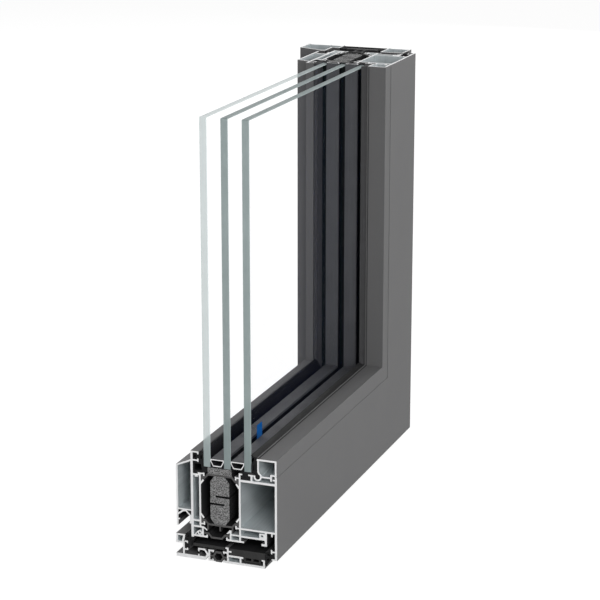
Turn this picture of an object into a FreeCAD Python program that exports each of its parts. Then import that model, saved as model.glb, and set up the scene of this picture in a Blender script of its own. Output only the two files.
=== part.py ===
"""Cut corner sample of an insulated aluminium balcony door, standing on its flat sill.

The leaf is closed in its frame.  Everything is cut off square at the left end, where the
sections show, and again at the top.  X runs along the sill from the cut end to the wall
side, Y from the room to the outside and Z up.  The room face of the leaf is Y = 0 while the
sections are drawn, and each piece is then placed so that the sample stands over the origin.
"""
import FreeCAD, Part
import math
import os
import Sketcher

FOLDER = "parts"
SHEET = "Sizes"
HALF = 0.5
DOUBLE = 2

# Directions from the middle of a round trough to its corners, from one side down to the other,
# and from the middle of a round port all the way around.
TROUGH_ANGLES = (180, 210, 240, 270, 300, 330, 360)
PORT_ANGLES = (0, 45, 90, 135, 180, 225, 270, 315)

# Driving sizes in millimetres.  A depth is measured along Y from the room face, a level from
# the edge of the leaf inwards, so that the rail and the stile share one section.
SIZES = {
    # the whole sample
    "leaf_width": 339.4,
    "sample_height": 356.0,
    "leaf_lift": 8.0,
    "glass_drop": 1.2,
    # wall thicknesses of the aluminium sections
    "face_wall": 1.8,
    "shell_wall": 1.5,
    "hook_wall": 1.2,
    "rebate_wall": 2.0,
    # inner shell of the leaf
    "inner_depth": 31.8,
    "inner_floor": 22.0,
    "chamber_height": 41.6,
    "bead_rise": 5.1,
    "lip_setback": 11.4,
    "lip_overhang": 1.9,
    "lip_toe": 0.9,
    "tail_drop": 10.9,
    "leg_depth": 8.5,
    "leg_drop": 11.1,
    "leg_foot": 4.5,
    "keel_rise": 4.5,
    "cleat_width": 4.6,
    "cleat_height": 3.9,
    "cleat_wall": 1.2,
    "tail_toe": 4.0,
    "tail_reach": 11.0,
    "tail_hook": 2.7,
    "horn_reach": 6.5,
    "horn_rise": 9.2,
    "horn_drop": 3.5,
    "port_rise": 6.1,
    "nib_depth": 3.7,
    "nib_length": 2.4,
    "flange_hook": 2.8,
    "flange_tee_level": 6.4,
    "flange_tee_head": 3.4,
    "catch_reach": 1.7,
    # outer shell of the leaf
    "outer_box": 12.5,
    "cavity": 5.1,
    "cavity_rise": 2.0,
    "cavity_crown": 0.3,
    "screw_bump": 2.5,
    "box_rise": 10.0,
    "shoulder_rise": 0.9,
    "box_slope": 5.4,
    "cover_drop": 3.3,
    "drip": 0.7,
    "gasket_rise": 5.6,
    "gasket_groove": 8.0,
    "gasket_lip_head": 2.8,
    "gasket_lip_reach": 5.0,
    "glazing_gap": 4.1,
    "rib_drop": 3.0,
    "sole_rise": 0.2,
    "sole_toe": 3.4,
    "heel_setback": 2.0,
    "screw_port": 2.1,
    "screw_port_bore": 1.0,
    "screw_port_inset": 1.9,
    "screw_strut": 3.4,
    "screw_strut_wall": 1.0,
    "cheek_reach": 3.0,
    "cheek_drop": 2.0,
    "arch_rise": 10.9,
    "arch_foot": 1.4,
    "arch_shoulder": 4.0,
    "arch_hook_rise": 1.6,
    # plastic isolators between the shells
    "isolator_rise": 1.5,
    "isolator_drop": 0.1,
    "isolator_flat": 1.6,
    "neck_start": 2.9,
    "neck_end": 4.7,
    "foot_start": 1.5,
    "foot_end": 6.7,
    "foot_depth": 1.5,
    "neck_depth": 3.5,
    "arm_depth": 5.4,
    "arm_outer_depth": 6.2,
    "claw_start": 7.3,
    "claw_end": 9.7,
    "claw_tip_start": 5.1,
    "claw_tip_end": 6.1,
    "claw_depth": 2.8,
    "claw_neck": 1.8,
    "tee_depth": 3.2,
    "tee_start": 0.3,
    "tee_end": 2.6,
    "fin_length": 4.0,
    "sole_neck_rise": 3.2,
    "sole_neck": 1.5,
    "sole_neck_depth": 3.8,
    "sole_flat_depth": 6.4,
    # foam
    "foam_width": 16.0,
    "foam_chamfer": 3.5,
    "foam_shoulder": 4.6,
    "foam_slit": 1.3,
    "foam_slit_depth": 11.6,
    "upper_slit_rise": 24.2,
    "lower_slit_rise": 17.7,
    "tape_width": 20.0,
    "tape_height": 5.3,
    # glazing bead
    "bead_height": 13.8,
    "bead_setback": 0.3,
    "bead_floor": 1.4,
    "bead_step": 0.8,
    "bead_step_depth": 4.2,
    "bead_wall": 1.35,
    "bead_heel": 1.7,
    "bead_knee_reach": 1.3,
    "bead_knee": 2.7,
    "bead_back_rise": 4.4,
    "bead_waist": 0.5,
    "bead_overhang": 2.7,
    "bead_edge_round": 0.5,
    "bead_nose": 1.9,
    "cup_rise": 0.6,
    "cup_radius": 3.3,
    "cup_clearance": 0.2,
    # insulating glass
    "pane": 5.9,
    "pane_gap": 11.2,
    "spacer_top": 7.1,
    "spacer_shoulder": 5.1,
    "spacer_sole": 1.2,
    "spacer_taper": 2.2,
    "spacer_wall": 0.8,
    # gaskets of the leaf
    "wedge_width": 4.5,
    "wedge_crest": 0.8,
    "wedge_nose": 2.0,
    "wedge_top": 15.0,
    "wedge_lip": 1.2,
    "wedge_crown": 13.5,
    "wedge_crown_inset": 2.1,
    "wedge_groove": 2.4,
    "wedge_groove_top": 12.4,
    "wedge_groove_low": 10.9,
    "wedge_groove_ramp": 1.7,
    "wedge_groove_foot": 9.3,
    "wedge_contact": 7.7,
    "wedge_cover": 1.9,
    "wedge_cover_rise": 0.6,
    "wedge_gap": 1.3,
    "wedge_gap_top": 2.9,
    "wedge_neck": 1.0,
    "skirt_rise": 1.9,
    "strip_height": 1.0,
    "stop_reach": 10.3,
    "stop_low": 5.6,
    "stop_high": 4.5,
    "stop_shoulder": 6.8,
    "stop_tip": 1.3,
    # flat sill
    "sill_setback": 13.9,
    "nose_reach": 0.8,
    "nose_low": 11.8,
    "nose_top": 19.6,
    "nose_width": 6.2,
    "nose_lean": 2.1,
    "nose_bore_inset": 2.2,
    "nose_wall_depth": 6.5,
    "clip_hook_low": 6.3,
    "clip_hook_top": 14.3,
    "clip_hook_reach": 3.0,
    "clip_tip": 0.9,
    "sill_flange": 3.0,
    "track_top": 9.6,
    "track_width": 6.0,
    "track_tip": 1.4,
    "track_apex": 5.0,
    "tube_pocket": 14.4,
    "clip_reach": 3.3,
    "clip_drop": 2.4,
    "track_gap": 2.8,
    "hexagon_half": 4.7,
    "hexagon_cheek": 2.5,
    "hexagon_height": 9.0,
    "hexagon_wall": 1.2,
    "hexagon_cap": 1.8,
    "hexagon_arm_low": 3.9,
    "hexagon_arm_top": 5.3,
    "threshold_width": 30.5,
    "threshold_top": 13.4,
    "threshold_floor": 2.0,
    "threshold_shelf": 7.2,
    "threshold_rib": 10.7,
    "shelf_nose": 1.6,
    "threshold_hook_level": 9.4,
    "threshold_hook": 2.4,
    "plate_level": 10.9,
    "plate_setback": 1.6,
    "plate_leg": 1.2,
    "cover_top": 12.9,
    "cover_keel": 3.6,
    "keel_inset": 3.5,
    "keel_slope": 1.1,
    "cover_cell": 4.7,
    "cover_web": 1.6,
    "cover_cell_floor": 1.0,
    "cover_cell_roof": 0.3,
    "outer_seal_low": 8.0,
    "outer_seal_top": 23.0,
    # jamb of the frame
    "jamb_overlap": 4.4,
    "jamb_width": 22.0,
    "jamb_inner_box": 21.2,
    "jamb_step_setback": 12.0,
    "jamb_step_width": 12.0,
    "jamb_lip_setback": 5.0,
    "jamb_reveal_reach": 0.7,
    "jamb_reveal_inset": 1.5,
    "jamb_outer_reach": 22.3,
    "jamb_slant": 8.8,
    "jamb_hook": 2.5,
    "jamb_bar": 2.0,
    "jamb_bar_inset": 0.4,
    "jamb_seal_width": 9.0,
    "jamb_seal_base": 4.0,
    "jamb_seal_flare": 10.0,
    "jamb_stop_width": 9.0,
}


class Size:
    """A length that knows its value and the sheet formula that gives it."""

    def __init__(self, formula, value):
        self.formula = formula
        self.value = value

    def __add__(self, other):
        return Size("(%s + %s)" % (self.formula, other.formula), self.value + other.value)

    def __sub__(self, other):
        return Size("(%s - %s)" % (self.formula, other.formula), self.value - other.value)

    def __mul__(self, factor):
        return Size("(%s * %s)" % (self.formula, factor), self.value * factor)

    def __neg__(self):
        return Size("(-1 * %s)" % self.formula, -self.value)


class Sheet:
    """The spreadsheet of driving sizes; each size is read as an attribute."""

    def __init__(self, doc, sizes):
        table = doc.addObject("Spreadsheet::Sheet", SHEET)
        for row, (name, value) in enumerate(sizes.items(), start=1):
            table.set("A%d" % row, name)
            table.set("B%d" % row, str(value))
            table.setAlias("B%d" % row, name)
            setattr(self, name, Size("%s.%s" % (SHEET, name), value))
        self.zero = Size("0", 0.0)


doc = FreeCAD.newDocument("BalconyDoorSample")
s = Sheet(doc, SIZES)
doc.recompute()

# Places on the inner shell, measured from the room face and from the leaf's edge.
s.inner_roof = s.inner_floor + s.chamber_height
s.bead_line = s.inner_roof + s.bead_rise
s.lip_depth = s.inner_depth - s.lip_setback
s.tail_level = s.inner_floor - s.tail_drop
s.leg_level = s.inner_floor - s.leg_drop
s.keel_level = s.tail_level + s.keel_rise
s.tail_front = s.inner_depth - s.tail_toe
s.tail_back = s.inner_depth + s.tail_reach
s.horn_depth = s.inner_depth + s.horn_reach
s.horn_level = s.tail_level + s.horn_rise
s.port_level = s.tail_level + s.port_rise

# The bead hooks behind the lip, and the glass stands off the bead by the wedge gasket.
bead_top = s.bead_line + s.bead_height
s.bead_cup_depth = s.lip_depth - s.lip_toe - s.cup_clearance
s.cup_middle = s.bead_cup_depth - s.cup_radius
s.cup_level = s.inner_roof + s.cup_rise + s.cup_radius
s.cup_bore = s.cup_radius - s.bead_wall
s.bead_foot_depth = s.cup_middle - s.cup_bore
s.bead_depth = s.bead_foot_depth + s.bead_overhang
s.bead_back = s.bead_depth - s.bead_waist
bead_floor_level = s.bead_line - s.bead_floor
s.bead_heel_level = bead_floor_level + s.bead_heel
s.bead_knee_depth = s.bead_foot_depth + s.bead_knee_reach
s.bead_knee_level = bead_floor_level + s.bead_knee
s.bead_back_level = bead_floor_level + s.bead_back_rise
s.inner_pane_depth = s.bead_depth + s.wedge_width
pane_back = s.inner_pane_depth + s.pane
middle_pane_depth = pane_back + s.pane_gap
middle_pane_back = middle_pane_depth + s.pane
outer_pane_depth = middle_pane_back + s.pane_gap
outer_pane_back = outer_pane_depth + s.pane

# The outer shell stands off the glass by its gasket, which sets the depth of the leaf.
rebate_front = outer_pane_back + s.glazing_gap + s.gasket_lip_reach
rebate_back = rebate_front + s.rebate_wall
outer_front = rebate_front - s.cavity - s.shell_wall
s.leaf_depth = rebate_back + s.outer_box
s.cavity_level = s.inner_floor + s.cavity_rise
s.cavity_roof = s.inner_roof + s.cavity_crown
s.box_level = s.inner_floor + s.box_rise
s.box_shoulder = s.bead_line + s.shoulder_rise
s.box_crown = s.box_shoulder + s.box_slope
s.cover_level = s.inner_floor - s.cover_drop
s.drip_level = s.tail_level - s.drip
s.gasket_lip_level = s.bead_line + s.gasket_rise
s.outer_top = s.gasket_lip_level + s.gasket_groove
s.rib_level = s.inner_floor - s.rib_drop
s.sole_level = s.tail_level + s.sole_rise
s.heel_depth = outer_front - s.heel_setback
s.sole_front = s.heel_depth - s.sole_toe
s.arch_hook_level = s.inner_floor + s.arch_hook_rise

# Isolators, foam and the foot of the glass.
isolation_middle = (s.inner_depth + outer_front) * HALF
s.upper_level = s.inner_roof + s.isolator_rise
s.lower_level = s.inner_floor + s.isolator_drop
s.sole_neck_low = s.tail_level + s.sole_neck_rise
s.sole_neck_high = s.sole_neck_low + s.sole_neck
s.upper_slit_level = s.lower_level + s.upper_slit_rise
s.lower_slit_level = s.lower_level + s.lower_slit_rise
s.skirt_level = s.upper_level + s.skirt_rise
glass_level = s.upper_level + s.tape_height

# The sill, from the stop on the room side outwards.
s.sill_end = s.leaf_width - s.sill_setback
s.threshold_depth = s.stop_reach + s.threshold_width
pocket_front = s.threshold_depth + s.shell_wall
s.clip_depth = pocket_front + s.tube_pocket
s.nose_flange_front = s.clip_depth + s.shell_wall + s.track_gap
s.threshold_rib_depth = s.threshold_depth - s.threshold_rib
s.threshold_shelf_front = s.threshold_rib_depth - s.shelf_nose
s.plate_front = pocket_front + s.clip_reach - s.plate_leg
s.plate_back = rebate_back - s.plate_setback
s.cover_keel_front = s.stop_reach + s.keel_inset
s.cover_keel_back = s.threshold_shelf_front - s.keel_slope
s.cover_cell_front = s.cover_keel_front + s.cover_web

# The jamb, behind the stile.
s.jamb_face = s.leaf_width - s.jamb_overlap
s.jamb_back = s.jamb_face + s.jamb_width
s.jamb_inner_back = s.stop_reach + s.jamb_inner_box
s.jamb_step_front = s.leaf_depth - s.jamb_step_setback
s.jamb_step_face = s.jamb_back - s.jamb_step_width
s.jamb_lip_depth = s.leaf_depth - s.jamb_lip_setback
s.jamb_reveal_depth = s.leaf_depth + s.jamb_reveal_reach
s.jamb_reveal_face = s.sill_end + s.jamb_reveal_inset
s.jamb_outer_depth = s.leaf_depth + s.jamb_outer_reach
s.jamb_outer_face = s.jamb_reveal_face + s.jamb_slant
sole_middle = (s.horn_depth + s.shell_wall + s.heel_depth) * HALF
s.jamb_seal_front = sole_middle - s.jamb_seal_width * HALF
s.jamb_seal_back = sole_middle + s.jamb_seal_width * HALF

sample_width = s.jamb_back + s.jamb_hook
sample_depth = s.jamb_outer_depth


def box(depth_low, level_low, depth_high, level_high):
    """Corners of a rectangle."""
    return (
        (depth_low, level_low),
        (depth_high, level_low),
        (depth_high, level_high),
        (depth_low, level_high),
    )


def mirrored(points, middle):
    """The points mirrored about a depth, in reversed order."""
    return tuple((middle * DOUBLE - depth, level) for depth, level in reversed(points))


def corners_around(depth, level, radius, angles):
    """Corners at one distance from a middle, one for each direction in degrees."""
    ways = [math.radians(angle) for angle in angles]
    return tuple((depth + radius * math.cos(way), level + radius * math.sin(way)) for way in ways)


class Run:
    """A direction in which sections are extruded, with the way their points are laid out."""

    def __init__(self, plane, place):
        self.plane = plane
        self.place = place


RAIL = Run("YZ_Plane", lambda depth, level: (depth, s.leaf_lift + level))
STILE = Run("XY_Plane", lambda depth, level: (s.leaf_width - level, depth))
SILL = Run("YZ_Plane", lambda depth, height: (depth, height))
JAMB = Run("XY_Plane", lambda across, depth: (across, depth))
FACE = Run("XZ_Plane", lambda across, height: (across, height))


def origin_plane(body, role):
    """The origin plane of a body that has this role."""
    for feature in body.Origin.OriginFeatures:
        if feature.Role == role:
            return feature
    raise ValueError("no plane " + role)


def add_sketch(body, name, run, loops, offset):
    """A sketch of closed loops, each corner bound to the sheet."""
    sketch = body.newObject("Sketcher::SketchObject", name)
    sketch.AttachmentSupport = [(origin_plane(body, run.plane), "")]
    sketch.MapMode = "FlatFace"
    sketch.setExpression("AttachmentOffset.Base.z", offset.formula)
    for loop in loops:
        corners = [run.place(*point) for point in loop]
        vectors = [FreeCAD.Vector(across.value, up.value, 0) for across, up in corners]
        edges = [
            Part.LineSegment(start, end)
            for start, end in zip(vectors, vectors[1:] + vectors[:1])
        ]
        lines = sketch.addGeometry(edges, False)
        followers = lines[1:] + lines[:1]
        sketch.addConstraint(
            [Sketcher.Constraint("Coincident", a, 2, b, 1) for a, b in zip(lines, followers)]
        )
        for line, (across, up) in zip(lines, corners):
            for kind, size in (("DistanceX", across), ("DistanceY", up)):
                number = sketch.addConstraint(Sketcher.Constraint(kind, -1, 1, line, 1, size.value))
                sketch.setExpression("Constraints[%d]" % number, size.formula)
    return sketch


def place_in_sample(piece):
    """Move a piece so that the middle of the sample's plan is at the origin."""
    piece.setExpression("Placement.Base.x", (-sample_width * HALF).formula)
    piece.setExpression("Placement.Base.y", (-sample_depth * HALF).formula)


def add_profile(label, run, layers, start, end):
    """A body made of padded sketches, one for each layer of loops that don't touch."""
    body = doc.addObject("PartDesign::Body", label)
    body.Label = label
    for number, loops in enumerate(layers):
        sketch = add_sketch(body, "%s_section_%d" % (label, number), run, loops, start)
        pad = body.newObject("PartDesign::Pad", "%s_run_%d" % (label, number))
        pad.Profile = sketch
        pad.setExpression("Length", (end - start).formula)
    place_in_sample(body)
    return body


def cut_mitre(body, run):
    """Take off the far side of the 45 degree joint between rail and stile."""
    reach = s.leaf_depth + s.outer_top
    low = -s.leaf_lift
    corner = (s.leaf_width + s.leaf_lift * DOUBLE, low)
    far = (s.leaf_width - reach, s.leaf_lift + reach)
    if run is RAIL:
        side = (s.leaf_width + s.leaf_lift * DOUBLE, s.leaf_lift + reach)
        loop = (corner, side, far)
    else:
        side = (s.leaf_width - reach, low)
        loop = (corner, far, side)
    sketch = add_sketch(body, body.Label + "_mitre_line", FACE, [loop], s.zero)
    cut = body.newObject("PartDesign::Pocket", body.Label + "_mitre")
    cut.Profile = sketch
    cut.Type = "ThroughAll"
    cut.SideType = "Symmetric"


def add_leaf_pair(name, layers):
    """The same section along the bottom rail and up the stile, mitred at the corner."""
    rail = add_profile("rail_" + name, RAIL, layers, s.zero, s.leaf_width + s.leaf_lift)
    cut_mitre(rail, RAIL)
    stile = add_profile("stile_" + name, STILE, layers, s.zero, s.sample_height)
    cut_mitre(stile, STILE)


def add_box(label, low, high):
    """A plain block between two corners."""
    block = doc.addObject("Part::Box", label)
    block.Label = label
    for name, lower, upper in zip(("Length", "Width", "Height"), low, high):
        block.setExpression(name, (upper - lower).formula)
    block.setExpression("Placement.Base.x", (low[0] - sample_width * HALF).formula)
    block.setExpression("Placement.Base.y", (low[1] - sample_depth * HALF).formula)
    block.setExpression("Placement.Base.z", low[2].formula)
    return block


def groove_hooks(face, way, level, turn):
    """Hooks of one isolator groove: a tee at the shell's edge and a slanted claw."""
    def at(depth, height):
        return (face + depth * way, level + height * turn)
    stem = (
        at(s.zero, s.zero),
        at(s.tee_depth, s.zero),
        at(s.tee_depth, s.hook_wall),
        at(s.zero, s.hook_wall),
    )
    head = (
        at(s.tee_depth - s.hook_wall, -s.tee_start),
        at(s.tee_depth, -s.tee_start),
        at(s.tee_depth, s.tee_end),
        at(s.tee_depth - s.hook_wall, s.tee_end),
    )
    claw = (
        at(s.zero, s.claw_start),
        at(s.claw_neck, s.claw_tip_start),
        at(s.claw_depth, s.claw_tip_end),
        at(s.zero, s.claw_end),
    )
    return stem, head, claw


def inner_shell():
    """Room-side shell: face wall, main chamber, lower chamber, tail and hooks."""
    back = s.inner_depth - s.shell_wall
    chamber = [
        box(s.zero, s.inner_floor, s.inner_depth, s.inner_roof),
        box(s.face_wall, s.inner_floor + s.shell_wall, back, s.inner_roof - s.face_wall),
    ]
    leg_back = s.leg_depth + s.face_wall
    horn_back = s.horn_depth + s.shell_wall
    head_level = s.bead_line - s.hook_wall
    uprights = [
        box(s.zero, s.zero, s.face_wall, s.bead_line),
        box(back, s.tail_level, s.inner_depth, s.bead_line),
        box(s.leg_depth, s.leg_level, leg_back, s.inner_floor + s.shell_wall * HALF),
        box(s.lip_depth, s.inner_roof - s.shell_wall * HALF, s.lip_depth + s.shell_wall,
            s.bead_line),
        box(s.horn_depth, s.tail_level, horn_back, s.horn_level),
        box(s.nib_depth, s.inner_floor - s.nib_length, s.nib_depth + s.hook_wall,
            s.inner_floor + s.shell_wall * HALF),
    ]
    tee_back = s.face_wall + s.flange_tee_head - s.hook_wall
    levels = [
        box(leg_back, s.keel_level, back, s.keel_level + s.shell_wall),
        box(s.tail_front, s.tail_level, s.tail_back, s.tail_level + s.shell_wall),
        box(s.inner_depth, s.port_level - s.hook_wall, s.horn_depth, s.port_level),
        box(s.lip_depth - s.lip_toe, head_level, s.lip_depth + s.shell_wall + s.lip_overhang,
            s.bead_line),
        box(back - s.shell_wall, head_level, back, s.bead_line),
        box(leg_back, s.leg_level, s.leg_depth + s.leg_foot, s.leg_level + s.face_wall),
        box(s.face_wall, s.flange_tee_level, tee_back, s.flange_tee_level + s.hook_wall),
        box(s.face_wall, s.zero, s.face_wall + s.flange_hook, s.hook_wall),
        box(s.face_wall, head_level - s.shell_wall, s.face_wall + s.catch_reach,
            s.bead_line - s.shell_wall),
    ]
    lobe_tip = horn_back + s.flange_hook
    cleat_low = s.keel_level + s.shell_wall
    details = [
        box(tee_back, s.flange_tee_level - s.hook_wall, tee_back + s.hook_wall,
            s.flange_tee_level + s.hook_wall * DOUBLE),
        box(leg_back, cleat_low, leg_back + s.cleat_width, cleat_low + s.cleat_height),
        box(leg_back + s.cleat_wall, cleat_low + s.cleat_wall,
            leg_back + s.cleat_width - s.cleat_wall, cleat_low + s.cleat_height - s.cleat_wall),
        box(s.tail_back - s.hook_wall, s.tail_level + s.shell_wall, s.tail_back,
            s.tail_level + s.tail_hook),
        (
            (horn_back, s.horn_level),
            (lobe_tip, s.horn_level - s.horn_drop),
            (lobe_tip - s.hook_wall, s.horn_level - s.horn_drop),
            (horn_back, s.horn_level - s.hook_wall * DOUBLE),
        ),
    ]
    upper_stem, upper_head, upper_claw = groove_hooks(s.inner_depth, 1, s.upper_level, -1)
    lower_stem, lower_head, lower_claw = groove_hooks(s.inner_depth, 1, s.lower_level, 1)
    stems = [upper_stem, upper_claw, lower_stem, lower_claw]
    heads = [upper_head, lower_head]
    return [chamber, uprights, levels, details, stems, heads]


def outer_shell():
    """Weather-side shell: rebate leg, outer box with sloping top, cavity, drip and hooks."""
    box_face = s.leaf_depth - s.shell_wall
    outer_box = [
        (
            (rebate_front, s.box_level),
            (s.leaf_depth, s.box_level),
            (s.leaf_depth, s.box_shoulder),
            (rebate_back, s.box_crown),
            (rebate_front, s.box_crown),
        ),
        (
            (rebate_back, s.box_level + s.hook_wall),
            (box_face, s.box_level + s.hook_wall),
            (box_face, s.box_shoulder - s.shell_wall * HALF),
            (rebate_back, s.box_crown - s.shell_wall),
        ),
    ]
    cavity = [
        box(outer_front, s.cavity_level, rebate_back - s.rebate_wall * HALF, s.cavity_roof),
        box(outer_front + s.shell_wall, s.cavity_level + s.shell_wall, rebate_front,
            s.cavity_roof - s.shell_wall),
    ]
    heel_back = s.heel_depth + s.shell_wall
    uprights = [
        box(rebate_front, s.drip_level, rebate_back, s.outer_top),
        box(outer_front, s.rib_level, outer_front + s.shell_wall, s.cavity_level + s.shell_wall),
        box(box_face, s.cover_level, s.leaf_depth, s.box_level + s.hook_wall),
        box(s.heel_depth, s.sole_level, heel_back, s.rib_level + s.shell_wall * HALF),
    ]
    lip_front = rebate_front - s.gasket_lip_reach
    levels = [
        box(lip_front, s.outer_top - s.hook_wall, rebate_front, s.outer_top),
        box(lip_front, s.gasket_lip_level, rebate_front, s.gasket_lip_level + s.hook_wall),
        box(s.heel_depth, s.rib_level, rebate_front, s.rib_level + s.shell_wall),
        box(s.sole_front, s.sole_level, rebate_front, s.sole_level + s.shell_wall),
        box(rebate_back, s.cover_level + s.screw_bump, rebate_back + s.arch_foot,
            s.cover_level + s.screw_bump + s.hook_wall),
        box(box_face - s.arch_foot, s.arch_hook_level, box_face, s.arch_hook_level + s.hook_wall),
        box(outer_front, s.cavity_roof, outer_front + s.screw_bump, s.upper_level),
    ]
    arch_top = s.cover_level + s.screw_bump + s.arch_rise
    details = [
        box(lip_front, s.outer_top - s.hook_wall * DOUBLE, lip_front + s.hook_wall,
            s.outer_top - s.hook_wall),
        box(lip_front, s.gasket_lip_level - s.hook_wall * HALF, lip_front + s.hook_wall,
            s.gasket_lip_level - s.hook_wall * HALF + s.gasket_lip_head),
        box(s.sole_front, s.sole_level + s.shell_wall, s.sole_front + s.hook_wall,
            s.tail_level + s.tail_hook),
        (
            (s.heel_depth, s.rib_level + s.shell_wall),
            (s.heel_depth - s.cheek_reach, s.rib_level - s.cheek_drop + s.hook_wall),
            (s.heel_depth - s.cheek_reach, s.rib_level - s.cheek_drop),
            (s.heel_depth, s.rib_level),
        ),
        box(outer_front + s.shell_wall + s.hook_wall, s.cavity_roof - s.shell_wall - s.hook_wall,
            outer_front + s.shell_wall + s.hook_wall + s.screw_bump, s.cavity_roof - s.shell_wall),
        (
            (box_face, arch_top - s.arch_shoulder + s.hook_wall),
            (box_face - s.arch_shoulder, arch_top),
            (rebate_back + s.arch_shoulder, arch_top),
            (rebate_back, arch_top - s.arch_shoulder),
            (rebate_back, arch_top - s.arch_rise + s.hook_wall),
            (rebate_back + s.hook_wall, arch_top - s.arch_rise + s.hook_wall),
            (rebate_back + s.hook_wall, arch_top - s.arch_shoulder - s.hook_wall * HALF),
            (rebate_back + s.arch_shoulder + s.hook_wall * HALF, arch_top - s.hook_wall),
            (box_face - s.arch_shoulder - s.hook_wall * HALF, arch_top - s.hook_wall),
            (box_face, arch_top - s.arch_shoulder - s.hook_wall * HALF),
        ),
    ]
    port_depth = heel_back + s.screw_port_inset
    sole_top = s.sole_level + s.shell_wall
    port_level = sole_top + s.screw_port_inset
    screw_port = [
        corners_around(port_depth, port_level, s.screw_port, PORT_ANGLES),
        corners_around(port_depth, port_level, s.screw_port_bore, PORT_ANGLES),
    ]
    strut_foot = port_depth + s.screw_strut
    strut_head = port_level + s.screw_port - s.screw_strut_wall
    strut = (
        (strut_foot, sole_top),
        (port_depth + s.screw_port_bore, strut_head),
        (port_depth + s.screw_port_bore + s.screw_strut_wall, strut_head),
        (strut_foot + s.screw_strut_wall, sole_top),
    )
    upper_stem, upper_head, upper_claw = groove_hooks(outer_front, -1, s.upper_level, -1)
    lower_stem, lower_head, lower_claw = groove_hooks(outer_front, -1, s.lower_level, 1)
    stems = [upper_stem, upper_claw, lower_stem, lower_claw]
    heads = [upper_head, lower_head]
    return [outer_box, cavity, uprights, levels, details, screw_port, [strut], stems, heads]


def isolator(level, turn):
    """Plastic strip that locks into both shells; its feet sit behind the groove hooks."""
    def at(depth, height):
        return (s.inner_depth + depth, level + height * turn)
    half = (
        at(s.arm_outer_depth, s.isolator_flat),
        at(s.neck_depth, s.neck_end),
        at(s.foot_depth, s.neck_end),
        at(s.zero, s.foot_end),
        at(s.zero, s.foot_start),
        at(s.foot_depth, s.foot_start),
        at(s.foot_depth, s.neck_start),
        at(s.neck_depth, s.neck_start),
        at(s.arm_depth, s.zero),
    )
    return half + mirrored(half, isolation_middle)


def isolator_legs():
    """Three thin legs that hang below the lower isolator."""
    top = s.lower_level + s.isolator_flat * HALF
    low = s.lower_level - s.fin_length
    front = s.inner_depth + s.arm_outer_depth
    half_leg = s.hook_wall * HALF
    left = box(front - s.hook_wall, low, front, top)
    return [
        left,
        box(isolation_middle - half_leg, low, isolation_middle + half_leg, top),
        mirrored(left, isolation_middle),
    ]


def sole_isolator():
    """Plastic strip along the edge of the leaf, between the tail and the sole."""
    front = s.horn_depth + s.shell_wall
    half = (
        (front + s.sole_flat_depth, s.sole_level),
        (front + s.sole_neck_depth, s.sole_neck_low),
        (front, s.sole_neck_low),
        (front, s.sole_neck_high),
        (front + s.sole_neck_depth + s.hook_wall * HALF, s.sole_neck_high),
        (front + s.sole_flat_depth + s.hook_wall * HALF, s.sole_level + s.shell_wall),
    )
    return half + mirrored(half, sole_middle)


def foam_core():
    """Foam block between the isolators, with a slit from each side."""
    low = s.lower_level + s.isolator_flat
    top = s.upper_level - s.isolator_flat
    front = isolation_middle - s.foam_width * HALF
    back = isolation_middle + s.foam_width * HALF
    return (
        (front + s.foam_chamfer, low),
        (back - s.foam_chamfer, low),
        (back, low + s.foam_shoulder),
        (back, s.lower_slit_level),
        (back - s.foam_slit_depth, s.lower_slit_level),
        (back - s.foam_slit_depth, s.lower_slit_level + s.foam_slit),
        (back, s.lower_slit_level + s.foam_slit),
        (back, top - s.foam_shoulder),
        (back - s.foam_chamfer, top),
        (front + s.foam_chamfer, top),
        (front, top - s.foam_shoulder),
        (front, s.upper_slit_level + s.foam_slit),
        (front + s.foam_slit_depth, s.upper_slit_level + s.foam_slit),
        (front + s.foam_slit_depth, s.upper_slit_level),
        (front, s.upper_slit_level),
        (front, low + s.foam_shoulder),
    )


def trough(radius):
    """Corners of the round foot of the bead, at a distance from its middle."""
    return corners_around(s.cup_middle, s.cup_level, radius, TROUGH_ANGLES)


def bead_section():
    """Glazing bead: a light box that clips on the lip with a rounded foot."""
    front = s.bead_setback
    face_back = s.face_wall
    wall = s.bead_wall
    floor = bead_floor_level
    half_wall = wall * HALF
    shell = [
        (
            (front, s.bead_line),
            (face_back, s.bead_line),
            (face_back, s.bead_line + s.bead_step),
            (s.bead_step_depth, s.bead_line + s.bead_step),
            (s.bead_step_depth, floor),
            (s.bead_foot_depth, floor),
            (s.bead_foot_depth, s.bead_heel_level),
            (s.bead_knee_depth, s.bead_knee_level),
            (s.bead_back, s.bead_back_level),
            (s.bead_back, bead_top - s.shell_wall),
            (s.bead_depth, bead_top - s.shell_wall),
            (s.bead_depth, bead_top - s.bead_edge_round),
            (s.bead_depth - s.bead_edge_round, bead_top),
            (front, bead_top),
        ),
        (
            (face_back, s.bead_line + s.bead_step + wall),
            (s.bead_step_depth + wall, s.bead_line + s.bead_step + wall),
            (s.bead_step_depth + wall, floor + wall),
            (s.bead_foot_depth - wall, floor + wall),
            (s.bead_foot_depth - wall, s.bead_heel_level + half_wall),
            (s.bead_knee_depth - wall, s.bead_knee_level + half_wall),
            (s.bead_back - wall, s.bead_back_level + half_wall),
            (s.bead_back - wall, bead_top - s.shell_wall),
            (face_back, bead_top - s.shell_wall),
        ),
    ]
    outside = trough(s.cup_radius)
    inside = trough(s.cup_bore)
    foot = [
        outside
        + ((s.bead_cup_depth, s.bead_line), (s.bead_cup_depth - wall, s.bead_line))
        + tuple(reversed(inside)),
        box(s.bead_step_depth, floor - s.bead_nose, s.bead_step_depth + wall, floor),
    ]
    return [shell, foot]


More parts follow.
